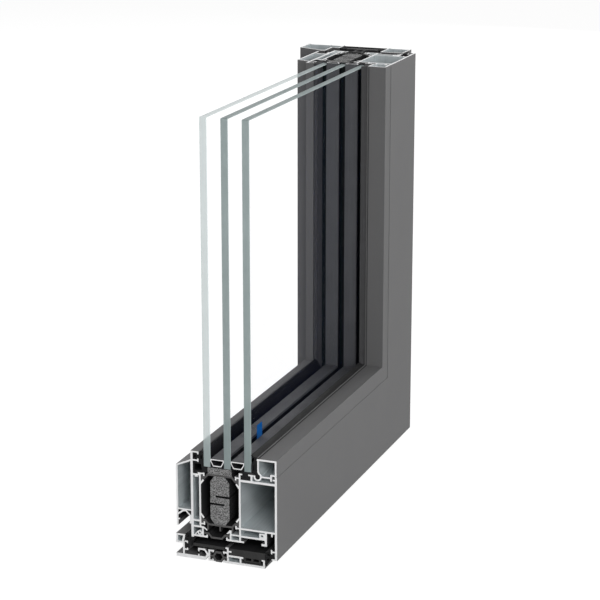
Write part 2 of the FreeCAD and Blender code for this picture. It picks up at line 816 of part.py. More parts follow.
def inner_wedge():
    """Glazing gasket between bead and inner pane: bulb, neck, grooved body and cover lip."""
    glass = s.inner_pane_depth
    nose_low = bead_top - s.shell_wall
    cover = s.bead_depth - s.wedge_cover
    cover_level = bead_top + s.wedge_cover_rise
    gap_side = s.bead_back + s.wedge_gap
    return (
        (glass, glass_level),
        (glass, glass_level + s.wedge_contact),
        (glass - s.wedge_groove_ramp, glass_level + s.wedge_groove_foot),
        (glass - s.wedge_groove, glass_level + s.wedge_groove_low),
        (glass - s.wedge_groove, glass_level + s.wedge_groove_top),
        (glass, glass_level + s.wedge_top - s.wedge_lip),
        (glass, glass_level + s.wedge_top),
        (glass - s.wedge_crown_inset, glass_level + s.wedge_crown),
        (s.bead_depth, cover_level),
        (cover, cover_level),
        (cover, bead_top),
        (s.bead_depth - s.bead_edge_round, bead_top),
        (s.bead_depth, bead_top - s.bead_edge_round),
        (s.bead_depth, nose_low),
        (gap_side, nose_low - s.wedge_gap_top),
        (gap_side, s.bead_back_level + s.wedge_neck),
        (s.bead_back, s.bead_back_level),
        (s.bead_knee_depth, s.bead_knee_level),
        (s.bead_foot_depth, s.bead_heel_level),
    ) + trough(s.cup_bore) + (
        (s.bead_cup_depth - s.bead_wall, s.bead_line),
        (s.bead_cup_depth, glass_level),
    )


def outer_gasket():
    """Glazing gasket on the weather side, with a long skirt down to the isolator."""
    lip_front = rebate_front - s.gasket_lip_reach
    lip_back = lip_front + s.hook_wall
    lip_low = s.gasket_lip_level - s.hook_wall * HALF
    lip_high = lip_low + s.gasket_lip_head
    hook_low = s.outer_top - s.hook_wall * DOUBLE
    tape_back = isolation_middle + s.tape_width * HALF
    block_back = outer_front + s.screw_bump
    return (
        (tape_back, glass_level),
        (tape_back, s.skirt_level),
        (outer_front - s.tee_depth, s.upper_level + s.tee_start),
        (block_back, s.upper_level + s.tee_start),
        (block_back + s.tee_start, s.cavity_roof),
        (rebate_front, s.cavity_roof),
        (rebate_front, s.gasket_lip_level),
        (lip_back, s.gasket_lip_level),
        (lip_back, lip_low),
        (lip_front, lip_low),
        (lip_front, lip_high),
        (lip_back, lip_high),
        (lip_back, s.gasket_lip_level + s.hook_wall),
        (rebate_front, s.gasket_lip_level + s.hook_wall),
        (rebate_front, s.outer_top - s.hook_wall),
        (lip_back, s.outer_top - s.hook_wall),
        (lip_back, hook_low),
        (lip_front - s.hook_wall * HALF, hook_low),
        (lip_front - s.hook_wall * HALF, s.outer_top),
        (outer_pane_back + s.wedge_nose * HALF, s.outer_top + s.wedge_crest),
        (outer_pane_back, hook_low),
        (outer_pane_back, glass_level),
    )


def rebate_block():
    """Black setting strip between the two lips on top of the inner shell."""
    front = s.lip_depth + s.shell_wall
    back = s.inner_depth - s.shell_wall
    head_low = s.bead_line - s.hook_wall
    throat_front = front + s.lip_overhang
    throat_back = back - s.shell_wall
    top = s.bead_line + s.strip_height
    return (
        (front, s.inner_roof),
        (back, s.inner_roof),
        (back, head_low),
        (throat_back, head_low),
        (throat_back, top),
        (throat_front, top),
        (throat_front, head_low),
        (front, head_low),
    )


def stop_gasket():
    """Soft stop in the groove of the leaf's flange; it presses on the frame."""
    tee_front = s.face_wall + s.flange_tee_head - s.hook_wall
    tee_back = tee_front + s.hook_wall
    hook_back = s.face_wall + s.flange_hook
    tee_low = s.flange_tee_level - s.hook_wall
    return (
        (s.face_wall, s.hook_wall),
        (hook_back, s.hook_wall),
        (hook_back + s.stop_tip, -s.stop_tip),
        (s.stop_reach - s.stop_tip, -s.stop_low),
        (s.stop_reach, -s.stop_low),
        (s.stop_reach, s.stop_high),
        (s.stop_reach - s.stop_tip, s.stop_shoulder),
        (tee_back, s.stop_shoulder),
        (tee_back, tee_low),
        (tee_front, tee_low),
        (tee_front, s.flange_tee_level),
        (s.face_wall, s.flange_tee_level),
    )


def spacer(front, back):
    """Hollow spacer bar between two panes."""
    top = glass_level + s.spacer_top
    shoulder = glass_level + s.spacer_shoulder
    sole = glass_level + s.spacer_sole
    inset = s.spacer_taper + s.spacer_wall * HALF
    return [
        (
            (front, top),
            (front, shoulder),
            (front + s.spacer_taper, sole),
            (back - s.spacer_taper, sole),
            (back, shoulder),
            (back, top),
        ),
        (
            (front + s.spacer_wall, top - s.spacer_wall),
            (front + s.spacer_wall, shoulder),
            (front + inset, sole + s.spacer_wall),
            (back - inset, sole + s.spacer_wall),
            (back - s.spacer_wall, shoulder),
            (back - s.spacer_wall, top - s.spacer_wall),
        ),
    ]


def edge_seal(front, back):
    """Sealant that closes the gap between two panes outside their spacer."""
    shoulder = glass_level + s.spacer_shoulder
    sole = glass_level + s.spacer_sole
    return (
        (front, glass_level),
        (back, glass_level),
        (back, shoulder),
        (back - s.spacer_taper, sole),
        (front + s.spacer_taper, sole),
        (front, shoulder),
    )


def build_leaf():
    """Both shells, what joins and insulates them, and what holds the glass."""
    add_leaf_pair("inner_shell", inner_shell())
    add_leaf_pair("outer_shell", outer_shell())
    add_leaf_pair("upper_isolator", [[isolator(s.upper_level, -1)]])
    add_leaf_pair("lower_isolator", [[isolator(s.lower_level, 1)], isolator_legs()])
    add_leaf_pair("sole_isolator", [[sole_isolator()]])
    add_leaf_pair("foam_core", [[foam_core()]])
    tape_front = isolation_middle - s.tape_width * HALF
    tape_back = isolation_middle + s.tape_width * HALF
    add_leaf_pair("foam_tape", [[box(tape_front, s.upper_level, tape_back, glass_level)]])
    add_leaf_pair("outer_gasket", [[outer_gasket()]])
    add_leaf_pair("setting_strip", [[rebate_block()]])
    add_leaf_pair("stop_gasket", [[stop_gasket()]])


def build_beads():
    """Bead and wedge gasket; the lower ones run through and the upright ones stand on them.

    The lips of the two gaskets, above the beads, are mitred.
    """
    end = s.leaf_width - s.bead_line
    bead = bead_section()
    add_profile("rail_bead", RAIL, bead, s.zero, end)
    add_profile("stile_bead", STILE, bead, s.leaf_lift + bead_top, s.sample_height)
    wedge = [[inner_wedge()]]
    rail = add_profile("rail_inner_gasket", RAIL, wedge, s.zero, s.leaf_width - bead_top)
    cut_mitre(rail, RAIL)
    foot = s.leaf_lift + bead_top
    stile = add_profile("stile_inner_gasket", STILE, wedge, foot, s.sample_height)
    cut_mitre(stile, STILE)


def build_glass():
    """Three panes, their spacer bars and the sealant around them."""
    glass_end = s.leaf_width - glass_level
    glass_foot = s.leaf_lift + glass_level
    glass_top = s.sample_height - s.glass_drop
    panes = (
        ("glass_inner", s.inner_pane_depth),
        ("glass_middle", middle_pane_depth),
        ("glass_outer", outer_pane_depth),
    )
    for label, front in panes:
        add_box(label, (s.zero, front, glass_foot), (glass_end, front + s.pane, glass_top))
    gaps = (
        ("inner", pane_back, middle_pane_depth),
        ("outer", middle_pane_back, outer_pane_depth),
    )
    for side, front, back in gaps:
        add_leaf_pair(side + "_spacer", [spacer(front, back)])
        add_leaf_pair(side + "_seal", [[edge_seal(front, back)]])


def build_sill():
    """Flat threshold: outer nose, insulating tube, inner profile, covers and stop seal."""
    nose_face = s.leaf_depth + s.nose_reach
    nose_back = nose_face - s.nose_width
    wall_front = s.leaf_depth - s.nose_wall_depth
    wall_back = wall_front + s.shell_wall
    hook_front = wall_front - s.clip_hook_reach
    nose_box = [
        (
            (nose_back, s.nose_low),
            (nose_face, s.nose_low),
            (nose_face, s.nose_top),
            (nose_back - s.nose_lean, s.nose_top),
        ),
        (
            (nose_back + s.shell_wall, s.nose_low + s.shell_wall),
            (nose_face - s.shell_wall, s.nose_low + s.shell_wall),
            (nose_face - s.shell_wall, s.nose_top - s.shell_wall),
            (nose_back - s.nose_lean + s.nose_bore_inset, s.nose_top - s.shell_wall),
        ),
    ]
    track_back = s.nose_flange_front + s.track_width
    clip_back = s.clip_depth + s.shell_wall
    clip_front = s.clip_depth - s.clip_reach
    uprights = [
        box(wall_front, s.zero, wall_back, s.nose_low + s.shell_wall),
        (
            (s.nose_flange_front, s.zero),
            (clip_back - s.shell_wall * HALF, s.track_apex),
            (s.nose_flange_front, s.track_top),
            (s.nose_flange_front + s.shell_wall, s.track_top),
            (clip_back + s.shell_wall, s.track_apex),
            (s.nose_flange_front + s.shell_wall, s.zero),
        ),
    ]
    clip_bar = box(s.clip_depth, s.zero, clip_back, s.track_top)
    levels = [
        box(hook_front, s.clip_hook_low, wall_front, s.clip_hook_low + s.hook_wall),
        box(hook_front, s.clip_hook_top - s.hook_wall, wall_front, s.clip_hook_top),
        box(s.nose_flange_front, s.zero, nose_face, s.sill_flange),
        box(s.nose_flange_front, s.track_top - s.track_tip, track_back, s.track_top),
        box(clip_front, s.track_top - s.track_tip, s.clip_depth, s.track_top),
        box(clip_front, s.zero, s.clip_depth, s.track_tip),
    ]
    low_hook = s.clip_hook_low + s.hook_wall
    top_hook = s.clip_hook_top - s.hook_wall
    tips = [
        box(hook_front, low_hook, hook_front + s.hook_wall, low_hook + s.clip_tip),
        box(hook_front, top_hook - s.clip_tip, hook_front + s.hook_wall, top_hook),
        box(track_back - s.hook_wall, s.track_top - s.track_tip * DOUBLE, track_back,
            s.track_top - s.track_tip),
        box(track_back - s.hook_wall, s.sill_flange, track_back, s.sill_flange + s.track_tip),
        (
            (clip_front, s.track_top - s.track_tip),
            (clip_front + s.hook_wall, s.track_top - s.clip_drop),
            (clip_front + s.hook_wall, s.track_top - s.track_tip),
        ),
        (
            (clip_front, s.track_tip),
            (clip_front + s.hook_wall, s.track_tip),
            (clip_front + s.hook_wall, s.track_tip * DOUBLE),
        ),
    ]
    nose = [nose_box, uprights, [clip_bar], levels, tips]
    add_profile("sill_nose", SILL, nose, s.zero, s.sill_end)

    middle = (s.clip_depth + pocket_front) * HALF
    half_tube = (
        (middle - s.hexagon_cheek, s.hexagon_height),
        (middle - s.hexagon_half, s.hexagon_arm_top),
        (pocket_front, s.hexagon_arm_top),
        (pocket_front, s.hexagon_arm_low),
        (middle - s.hexagon_half, s.hexagon_arm_low),
        (middle - s.hexagon_cheek, s.zero),
    )
    arm_level = (s.hexagon_arm_low + s.hexagon_arm_top) * HALF
    half_bore = (
        (middle - s.hexagon_cheek + s.hexagon_wall * HALF, s.hexagon_height - s.hexagon_cap),
        (middle - s.hexagon_half + s.hexagon_wall, arm_level),
        (middle - s.hexagon_cheek + s.hexagon_wall * HALF, s.hexagon_cap),
    )
    tube = [half_tube + mirrored(half_tube, middle), half_bore + mirrored(half_bore, middle)]
    add_profile("sill_insulator", SILL, [tube], s.zero, s.sill_end)

    shelf_low = s.threshold_shelf - s.shell_wall
    hook_back = pocket_front + s.clip_reach
    upstand_back = s.stop_reach + s.shell_wall
    inner_uprights = [
        box(s.threshold_depth, s.zero, pocket_front, s.threshold_top),
        box(s.threshold_rib_depth, s.zero, s.threshold_rib_depth + s.shell_wall, s.threshold_shelf),
        box(s.stop_reach, s.zero, upstand_back, s.threshold_shelf),
    ]
    inner_levels = [
        box(s.stop_reach, s.zero, hook_back, s.threshold_floor),
        box(s.threshold_shelf_front, shelf_low, s.threshold_depth, s.threshold_shelf),
        box(upstand_back, s.threshold_shelf - s.hook_wall, upstand_back + s.hook_wall,
            s.threshold_shelf),
        box(s.threshold_depth - s.threshold_hook, s.threshold_hook_level, s.threshold_depth,
            s.threshold_hook_level + s.track_tip),
        box(pocket_front, s.track_top - s.track_tip, hook_back, s.track_top),
        box(pocket_front, s.threshold_top - s.track_tip, pocket_front + s.hook_wall,
            s.threshold_top),
    ]
    inner_tips = [
        (
            (hook_back - s.hook_wall, s.track_top - s.track_tip),
            (hook_back - s.hook_wall, s.track_top - s.clip_drop),
            (hook_back, s.track_top - s.track_tip),
        ),
        (
            (hook_back - s.hook_wall, s.threshold_floor),
            (hook_back, s.threshold_floor),
            (hook_back - s.hook_wall, s.threshold_floor + s.clip_tip),
        ),
    ]
    add_profile("sill_threshold", SILL, [inner_uprights, inner_levels, inner_tips], s.zero,
                s.jamb_face)

    plate = [
        (
            (s.plate_front, s.plate_level),
            (s.plate_front, s.track_top),
            (s.plate_front + s.plate_leg, s.track_top),
            (s.plate_front + s.plate_leg, s.plate_level),
            (s.nose_flange_front, s.plate_level),
            (s.nose_flange_front, s.track_top),
            (s.nose_flange_front + s.plate_leg, s.track_top),
            (s.nose_flange_front + s.plate_leg, s.plate_level),
            (s.plate_back, s.plate_level),
            (s.plate_back, s.threshold_top),
            (s.plate_front, s.threshold_top),
        )
    ]
    add_profile("sill_cover_plate", SILL, [plate], s.zero, s.sill_end)

    hook_front_depth = s.threshold_depth - s.threshold_hook
    cell_low = s.cover_keel + s.cover_cell_floor
    cell_top = s.threshold_shelf - s.cover_cell_roof
    second_cell = s.cover_cell_front + s.cover_cell + s.cover_web
    cover = [
        (
            (s.stop_reach, s.threshold_shelf),
            (s.cover_keel_front, s.threshold_shelf),
            (s.cover_keel_front, s.cover_keel),
            (s.cover_keel_back, s.cover_keel),
            (s.threshold_shelf_front, s.threshold_shelf),
            (s.threshold_depth, s.threshold_shelf),
            (s.threshold_depth, s.threshold_hook_level),
            (hook_front_depth, s.threshold_hook_level),
            (hook_front_depth, s.threshold_hook_level + s.track_tip),
            (s.threshold_depth, s.threshold_hook_level + s.track_tip),
            (s.threshold_depth, s.cover_top),
            (s.stop_reach, s.cover_top),
        ),
        box(s.cover_cell_front, cell_low, s.cover_cell_front + s.cover_cell, cell_top),
        box(second_cell, cell_low, second_cell + s.cover_cell, cell_top),
    ]
    add_profile("sill_cover_block", SILL, [cover], s.zero, s.jamb_face)

    seal = (
        (wall_front, low_hook),
        (wall_front, top_hook),
        (hook_front + s.hook_wall, top_hook),
        (hook_front + s.hook_wall, top_hook - s.clip_tip),
        (hook_front, top_hook - s.clip_tip),
        (hook_front, s.clip_hook_top),
        (hook_front + s.hook_wall, s.nose_top),
        (rebate_back, s.outer_seal_top),
        (rebate_back, s.nose_top),
        (rebate_back + s.hook_wall, s.clip_hook_top),
        (rebate_back + s.hook_wall * HALF, s.outer_seal_low),
        (hook_front, low_hook + s.clip_tip),
        (hook_front + s.hook_wall, low_hook + s.clip_tip),
        (hook_front + s.hook_wall, low_hook),
    )
    add_profile("sill_stop_gasket", SILL, [[seal]], s.zero, s.sill_end)


def build_jamb():
    """Upright of the frame beside the leaf: two shells, two plastic bars and its seals."""
    hook_back = s.jamb_back + s.jamb_hook
    inner_ring = [
        box(s.jamb_face, s.stop_reach, s.jamb_back, s.jamb_inner_back),
        box(s.jamb_face + s.shell_wall, s.stop_reach + s.shell_wall, s.jamb_back - s.shell_wall,
            s.jamb_inner_back - s.shell_wall),
    ]
    inner_hooks = [
        box(s.jamb_back, s.stop_reach, hook_back, s.stop_reach + s.shell_wall),
        box(s.jamb_back, s.jamb_inner_back - s.shell_wall, hook_back, s.jamb_inner_back),
    ]
    add_profile("jamb_inner_shell", JAMB, [inner_ring, inner_hooks], s.zero, s.sample_height)

    wall = s.shell_wall
    outer_ring = [
        (
            (s.sill_end, s.jamb_lip_depth),
            (s.jamb_step_face, s.jamb_lip_depth),
            (s.jamb_step_face, s.jamb_step_front),
            (s.jamb_back, s.jamb_step_front),
            (s.jamb_back, s.jamb_outer_depth),
            (s.jamb_outer_face, s.jamb_outer_depth),
            (s.jamb_reveal_face, s.jamb_reveal_depth),
            (s.sill_end, s.jamb_reveal_depth),
        ),
        (
            (s.jamb_reveal_face + wall, s.jamb_lip_depth + wall),
            (s.jamb_step_face + wall, s.jamb_lip_depth + wall),
            (s.jamb_step_face + wall, s.jamb_step_front + wall),
            (s.jamb_back - wall, s.jamb_step_front + wall),
            (s.jamb_back - wall, s.jamb_outer_depth - wall),
            (s.jamb_outer_face + wall, s.jamb_outer_depth - wall),
            (s.jamb_reveal_face + wall, s.jamb_reveal_depth),
        ),
    ]
    outer_hooks = [
        box(s.jamb_back, s.jamb_step_front, hook_back, s.jamb_step_front + wall),
        box(s.jamb_back, s.jamb_reveal_depth, hook_back, s.jamb_reveal_depth + wall),
        box(s.jamb_back, s.jamb_outer_depth - wall, hook_back, s.jamb_outer_depth),
    ]
    add_profile("jamb_outer_shell", JAMB, [outer_ring, outer_hooks], s.zero, s.sample_height)

    front_bar = s.jamb_step_face + s.jamb_bar_inset
    back_bar = s.jamb_back - s.jamb_bar_inset
    add_profile(
        "jamb_front_isolator", JAMB,
        [[box(front_bar, s.jamb_inner_back, front_bar + s.jamb_bar, s.jamb_step_front)]],
        s.zero, s.sample_height,
    )
    add_profile(
        "jamb_back_isolator", JAMB,
        [[box(back_bar - s.jamb_bar, s.jamb_inner_back, back_bar, s.jamb_step_front)]],
        s.zero, s.sample_height,
    )

    leaf_edge = s.leaf_width - s.sole_level
    base = front_bar - s.jamb_seal_base
    centre_seal = (
        (leaf_edge, s.jamb_seal_front),
        (base, s.jamb_seal_front),
        (base, s.jamb_seal_front - s.jamb_seal_flare),
        (front_bar, s.jamb_seal_front - s.jamb_seal_flare),
        (front_bar, s.jamb_seal_back + s.jamb_seal_flare),
        (base, s.jamb_seal_back + s.jamb_seal_flare),
        (base, s.jamb_seal_back),
        (leaf_edge, s.jamb_seal_back),
    )
    add_profile("jamb_centre_gasket", JAMB, [[centre_seal]], s.zero, s.sample_height)

    stop_end = s.leaf_width - s.drip_level
    stop = box(stop_end - s.jamb_stop_width, rebate_back, stop_end, s.jamb_lip_depth)
    add_profile("jamb_stop_gasket", JAMB, [[stop]], s.outer_seal_top, s.sample_height)


def check_document():
    """Stop before anything is written if an object failed or a piece isn't one sound solid."""
    doc.recompute()
    failed = [o.Label for o in doc.Objects if "Invalid" in o.State or "Error" in o.State]
    if failed:
        raise RuntimeError("failed objects: " + ", ".join(failed))
    pieces = [o for o in doc.Objects if o.TypeId in ("PartDesign::Body", "Part::Box")]
    for piece in pieces:
        shape = piece.Shape
        if shape.isNull() or not shape.isValid() or len(shape.Solids) != 1:
            raise RuntimeError("unsound shape: %s, %d solids" % (piece.Label, len(shape.Solids)))
    return pieces


def main():
    """Build every sub-part, check the document and write one file for each piece."""
    build_leaf()
    build_beads()
    build_glass()
    build_sill()
    build_jamb()
    pieces = check_document()
    os.makedirs(FOLDER, exist_ok=True)
    for piece in pieces:
        piece.Shape.exportStep(os.path.join(FOLDER, piece.Label + ".step"))
    print("%d pieces written" % len(pieces))


main()
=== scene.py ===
"""Looks of a cut corner sample of an insulated aluminium balcony door.

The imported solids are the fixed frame.  The metal sections, isolators and spacer bars keep their
solids and are finished face by face: sawn ends, mill-finish chambers, powder coat outside.  The
panes, gaskets and foam are soft or clear pieces with finer shapes of their own, built here in the
same places.  Sections are written in millimetres as (depth from the room face, level from the
edge of the leaf), and everything is placed in metres in the shared frame.
"""
import logging
import math
from abc import ABC, abstractmethod
from dataclasses import dataclass
from enum import Enum
from typing import ClassVar, Iterable, Sequence

import bmesh
import bpy
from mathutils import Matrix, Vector, noise
from mathutils.geometry import delaunay_2d_cdt, tessellate_polygon


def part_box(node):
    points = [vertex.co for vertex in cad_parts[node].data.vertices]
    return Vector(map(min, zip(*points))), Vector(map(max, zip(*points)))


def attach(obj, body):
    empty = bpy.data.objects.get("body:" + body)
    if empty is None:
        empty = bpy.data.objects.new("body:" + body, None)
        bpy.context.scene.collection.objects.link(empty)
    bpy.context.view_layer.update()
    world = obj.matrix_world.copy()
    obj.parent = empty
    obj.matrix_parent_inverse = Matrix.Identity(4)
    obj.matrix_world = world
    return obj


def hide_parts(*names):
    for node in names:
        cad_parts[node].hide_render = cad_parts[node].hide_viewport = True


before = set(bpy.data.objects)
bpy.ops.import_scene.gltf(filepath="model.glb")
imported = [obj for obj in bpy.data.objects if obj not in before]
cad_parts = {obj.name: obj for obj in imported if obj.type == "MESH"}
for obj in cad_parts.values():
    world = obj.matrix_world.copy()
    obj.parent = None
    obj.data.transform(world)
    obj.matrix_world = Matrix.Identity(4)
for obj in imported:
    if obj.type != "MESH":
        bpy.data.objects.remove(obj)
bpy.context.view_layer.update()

Point = tuple[float, float]
Loop = Sequence[Point]
Triple = tuple[float, float, float]
Colour = tuple[float, float, float, float]
# Depth in metres and strength of a surface's small relief.
Relief = tuple[float, float]

WHITE: Colour = (1.0, 1.0, 1.0, 1.0)
MM = 0.001
BODY = "root"
# How far in front of a face the area that it borders is looked up.
FACE_REACH = 0.5 * MM
# Least part of a normal along an axis for the face to count as square to it.
FLAT = 0.99
# Edges that bend more than this stay hard.
SHARP_EDGE = math.radians(32.0)
# Corners' share of an edge at most, so that the curves of two corners stay apart.
CORNER_SHARE = 0.45
# Sockets of a Mix node that mixes colours.
MIX_MASK, MIX_FIRST, MIX_SECOND, MIX_RESULT = 0, 6, 7, 2
# Meshing of a flat outline: keep what lies inside it, and how near two points may be.
KEEP_INSIDE = 1
SAME_POINT = 1e-6

log = logging.getLogger("balcony_door_sample")


def srgb(red: int, green: int, blue: int) -> Colour:
    """Linear colour of a screen colour, by the standard curve of screens.

    Args:
        red: Red, 0 to 255.
        green: Green, 0 to 255.
        blue: Blue, 0 to 255.

    Returns:
        The colour as Blender takes it, with full alpha.
    """
    def linear(channel: int) -> float:
        """One channel in linear light."""
        value = channel / 255.0
        return value / 12.92 if value <= 0.04045 else ((value + 0.055) / 1.055) ** 2.4
    return (linear(red), linear(green), linear(blue), 1.0)


class Run(Enum):
    """The ways in which a section is drawn out into a piece."""

    RAIL = "rail"
    STILE = "stile"
    SILL = "sill"
    JAMB = "jamb"


class Skin(Enum):
    """What a face of a section shows."""

    SAWN = "sawn"
    CHAMBER = "chamber"
    # Faces of deep hollows, which take a dark colour as painted shade.
    SHADED = "shaded"
    OUTSIDE = "outside"


@dataclass(frozen=True)
class Grid:
    """Where the sample stands, and how its sections turn into places.

    The sawn end of the rail is at along = 0, the room face of the leaf at depth = 0.
    """

    cut_end: float
    room_face: float
    leaf_width: float = 339.4
    leaf_lift: float = 8.0
    top: float = 356.0

    def point(self, across: float, depth: float, height: float) -> Vector:
        """Place of millimetres along the sill, from the room face and above the floor."""
        return Vector((self.cut_end + across * MM, self.room_face + depth * MM, height * MM))

    def place(self, run: Run, first: float, second: float, along: float) -> Vector:
        """Place of a section point at a distance along its run.

        Args:
            run: The run that the section belongs to.
            first: Depth, or the distance across for the jamb.
            second: Level, height for the sill, or depth for the jamb.
            along: Distance along the run, from the sawn end or from the floor.

        Returns:
            The place in metres.
        """
        if run is Run.RAIL:
            return self.point(along, first, self.leaf_lift + second)
        if run is Run.STILE:
            return self.point(self.leaf_width - second, first, along)
        if run is Run.SILL:
            return self.point(along, first, second)
        return self.point(first, second, along)

    def section(self, run: Run, place: Vector) -> Point:
        """Section coordinates of a place, the reverse of place().

        Args:
            run: The run that the section belongs to.
            place: The place in metres.

        Returns:
            Both coordinates in millimetres.
        """
        across = (place.x - self.cut_end) / MM
        depth = (place.y - self.room_face) / MM
        height = place.z / MM
        return {
            Run.RAIL: (depth, height - self.leaf_lift),
            Run.STILE: (depth, self.leaf_width - across),
            Run.SILL: (depth, height),
            Run.JAMB: (across, depth),
        }[run]

    def mitre(self, run: Run, level: float) -> float:
        """Distance along a leaf run at which a level meets the corner joint."""
        return self.leaf_width - level if run is Run.RAIL else self.leaf_lift + level


@dataclass(frozen=True)
class Area:
    """A polygon of a section, used to tell a chamber's walls from the rest."""

    corners: Loop

    @classmethod
    def room(cls, first_low: float, second_low: float, first_high: float,
             second_high: float) -> "Area":
        """A rectangular area."""
        return cls(((first_low, second_low), (first_high, second_low),
                    (first_high, second_high), (first_low, second_high)))

    def holds(self, first: float, second: float) -> bool:
        """Whether a section point lies in the area.

        Args:
            first: First coordinate of the section.
            second: Second coordinate of the section.

        Returns:
            True where an odd number of sides lies beyond the point.
        """
        odd = False
        for index, (here, level) in enumerate(self.corners):
            before, below = self.corners[index - 1]
            if (level > second) != (below > second):
                crossing = here + (second - level) / (below - level) * (before - here)
                odd = odd != (first < crossing)
        return odd


@dataclass(frozen=True)
class Profile:
    """A section of a soft piece: its outline, its bores and how round its corners are."""

    outline: Loop
    bores: tuple[Loop, ...] = ()
    radius: float = 0.4
    steps: int = 3

    def loops(self) -> list[list[Point]]:
        """Outline and bores with rounded corners."""
        return [self.rounded(loop) for loop in (self.outline, *self.bores)]

    def rounded(self, loop: Loop) -> list[Point]:
        """A loop with each corner replaced by a short curve.

        Args:
            loop: Corners of the loop.

        Returns:
            Points of the rounded loop.
        """
        points: list[Point] = []
        count = len(loop)
        for index, corner in enumerate(loop):
            before, after = Vector(loop[index - 1]), Vector(loop[(index + 1) % count])
            here = Vector(corner)
            back, on = before - here, after - here
            reach = min(self.radius, back.length * CORNER_SHARE, on.length * CORNER_SHARE)
            start, end = here + back.normalized() * reach, here + on.normalized() * reach
            for step in range(self.steps + 1):
                share = step / self.steps
                bend = start.lerp(here, share).lerp(here.lerp(end, share), share)
                points.append((bend.x, bend.y))
        return points


class Graph:
    """A node tree with short ways to add nodes and join them."""

    def __init__(self, tree: bpy.types.NodeTree) -> None:
        """Start on a tree, emptied of what Blender put there."""
        self.tree = tree
        self.tree.nodes.clear()

    def add(self, kind: str, inputs: dict | None = None, **settings: object) -> bpy.types.Node:
        """Add a node.

        Args:
            kind: Node type without the leading "ShaderNode".
            inputs: Values or output sockets for its inputs, by name or number.
            **settings: Attributes of the node.

        Returns:
            The new node.
        """
        prefix = "" if kind.startswith("Node") else "ShaderNode"
        node = self.tree.nodes.new(prefix + kind)
        for name, value in settings.items():
            setattr(node, name, value)
        self.fill(node, inputs or {})
        return node

    def fill(self, node: bpy.types.Node, inputs: dict) -> None:
        """Give inputs of a node their plain values, or join outputs to them.

        Args:
            node: The node.
            inputs: Values or output sockets, by name or number of the input.
        """
        for name, value in inputs.items():
            if isinstance(value, bpy.types.NodeSocket):
                self.tree.links.new(value, node.inputs[name])
            else:
                node.inputs[name].default_value = value

    def group(self, tree: bpy.types.NodeTree, **inputs: object) -> bpy.types.Node:
        """Place a shared effect with its own values.

        Args:
            tree: Node group of the effect.
            **inputs: Values of its inputs, by name in small letters.

        Returns:
            The group node.
        """
        node = self.add("Group", node_tree=tree)
        self.fill(node, {name.capitalize(): value for name, value in inputs.items()})
        return node

    def math(self, operation: str, *values: object, clamp: bool = False) -> bpy.types.NodeSocket:
        """Result of one step of arithmetic.

        Args:
            operation: Name of the step.
            *values: Its values, in order.
            clamp: Whether the result is kept between 0 and 1.

        Returns:
            The result.
        """
        return self.add("Math", dict(enumerate(values)), operation=operation,
                        use_clamp=clamp).outputs[0]

    def mix(self, mask: object, first: object, second: object) -> bpy.types.NodeSocket:
        """Colour between two colours.

        Args:
            mask: 0 for the first colour, 1 for the second.
            first: First colour.
            second: Second colour.

        Returns:
            The mixed colour.
        """
        inputs = {MIX_MASK: mask, MIX_FIRST: first, MIX_SECOND: second}
        return self.add("Mix", inputs, data_type="RGBA").outputs[MIX_RESULT]

    def between(self, value: object, low: float, high: float) -> bpy.types.NodeSocket:
        """A value of 0 to 1 spread over a range of low to high."""
        return self.add("MapRange", {"Value": value, "To Min": low, "To Max": high}).outputs[0]

    def contrast(self, value: object, low: float, high: float) -> bpy.types.NodeSocket:
        """A mask that rises from 0 to 1 while the value goes from low to high."""
        return self.add("MapRange", {"Value": value, "From Min": low, "From Max": high}).outputs[0]

    def weigh(self, first: object, first_share: float, second: object,
              second_share: float) -> bpy.types.NodeSocket:
        """A mask made of shares of two masks.

        Args:
            first: First mask.
            first_share: How much it counts.
            second: Second mask.
            second_share: How much it counts.

        Returns:
            The sum of both shares.
        """
        return self.math("MULTIPLY_ADD", first, first_share,
                         self.between(second, 0.0, second_share))

    def bump(self, height: object, relief: Relief) -> bpy.types.NodeSocket:
        """Normal of a surface with small relief.

        Args:
            height: The height.
            relief: Its depth and strength.

        Returns:
            The normal.
        """
        depth, strength = relief
        return self.add("Bump", {"Height": height, "Distance": depth,
                                 "Strength": strength}).outputs[0]


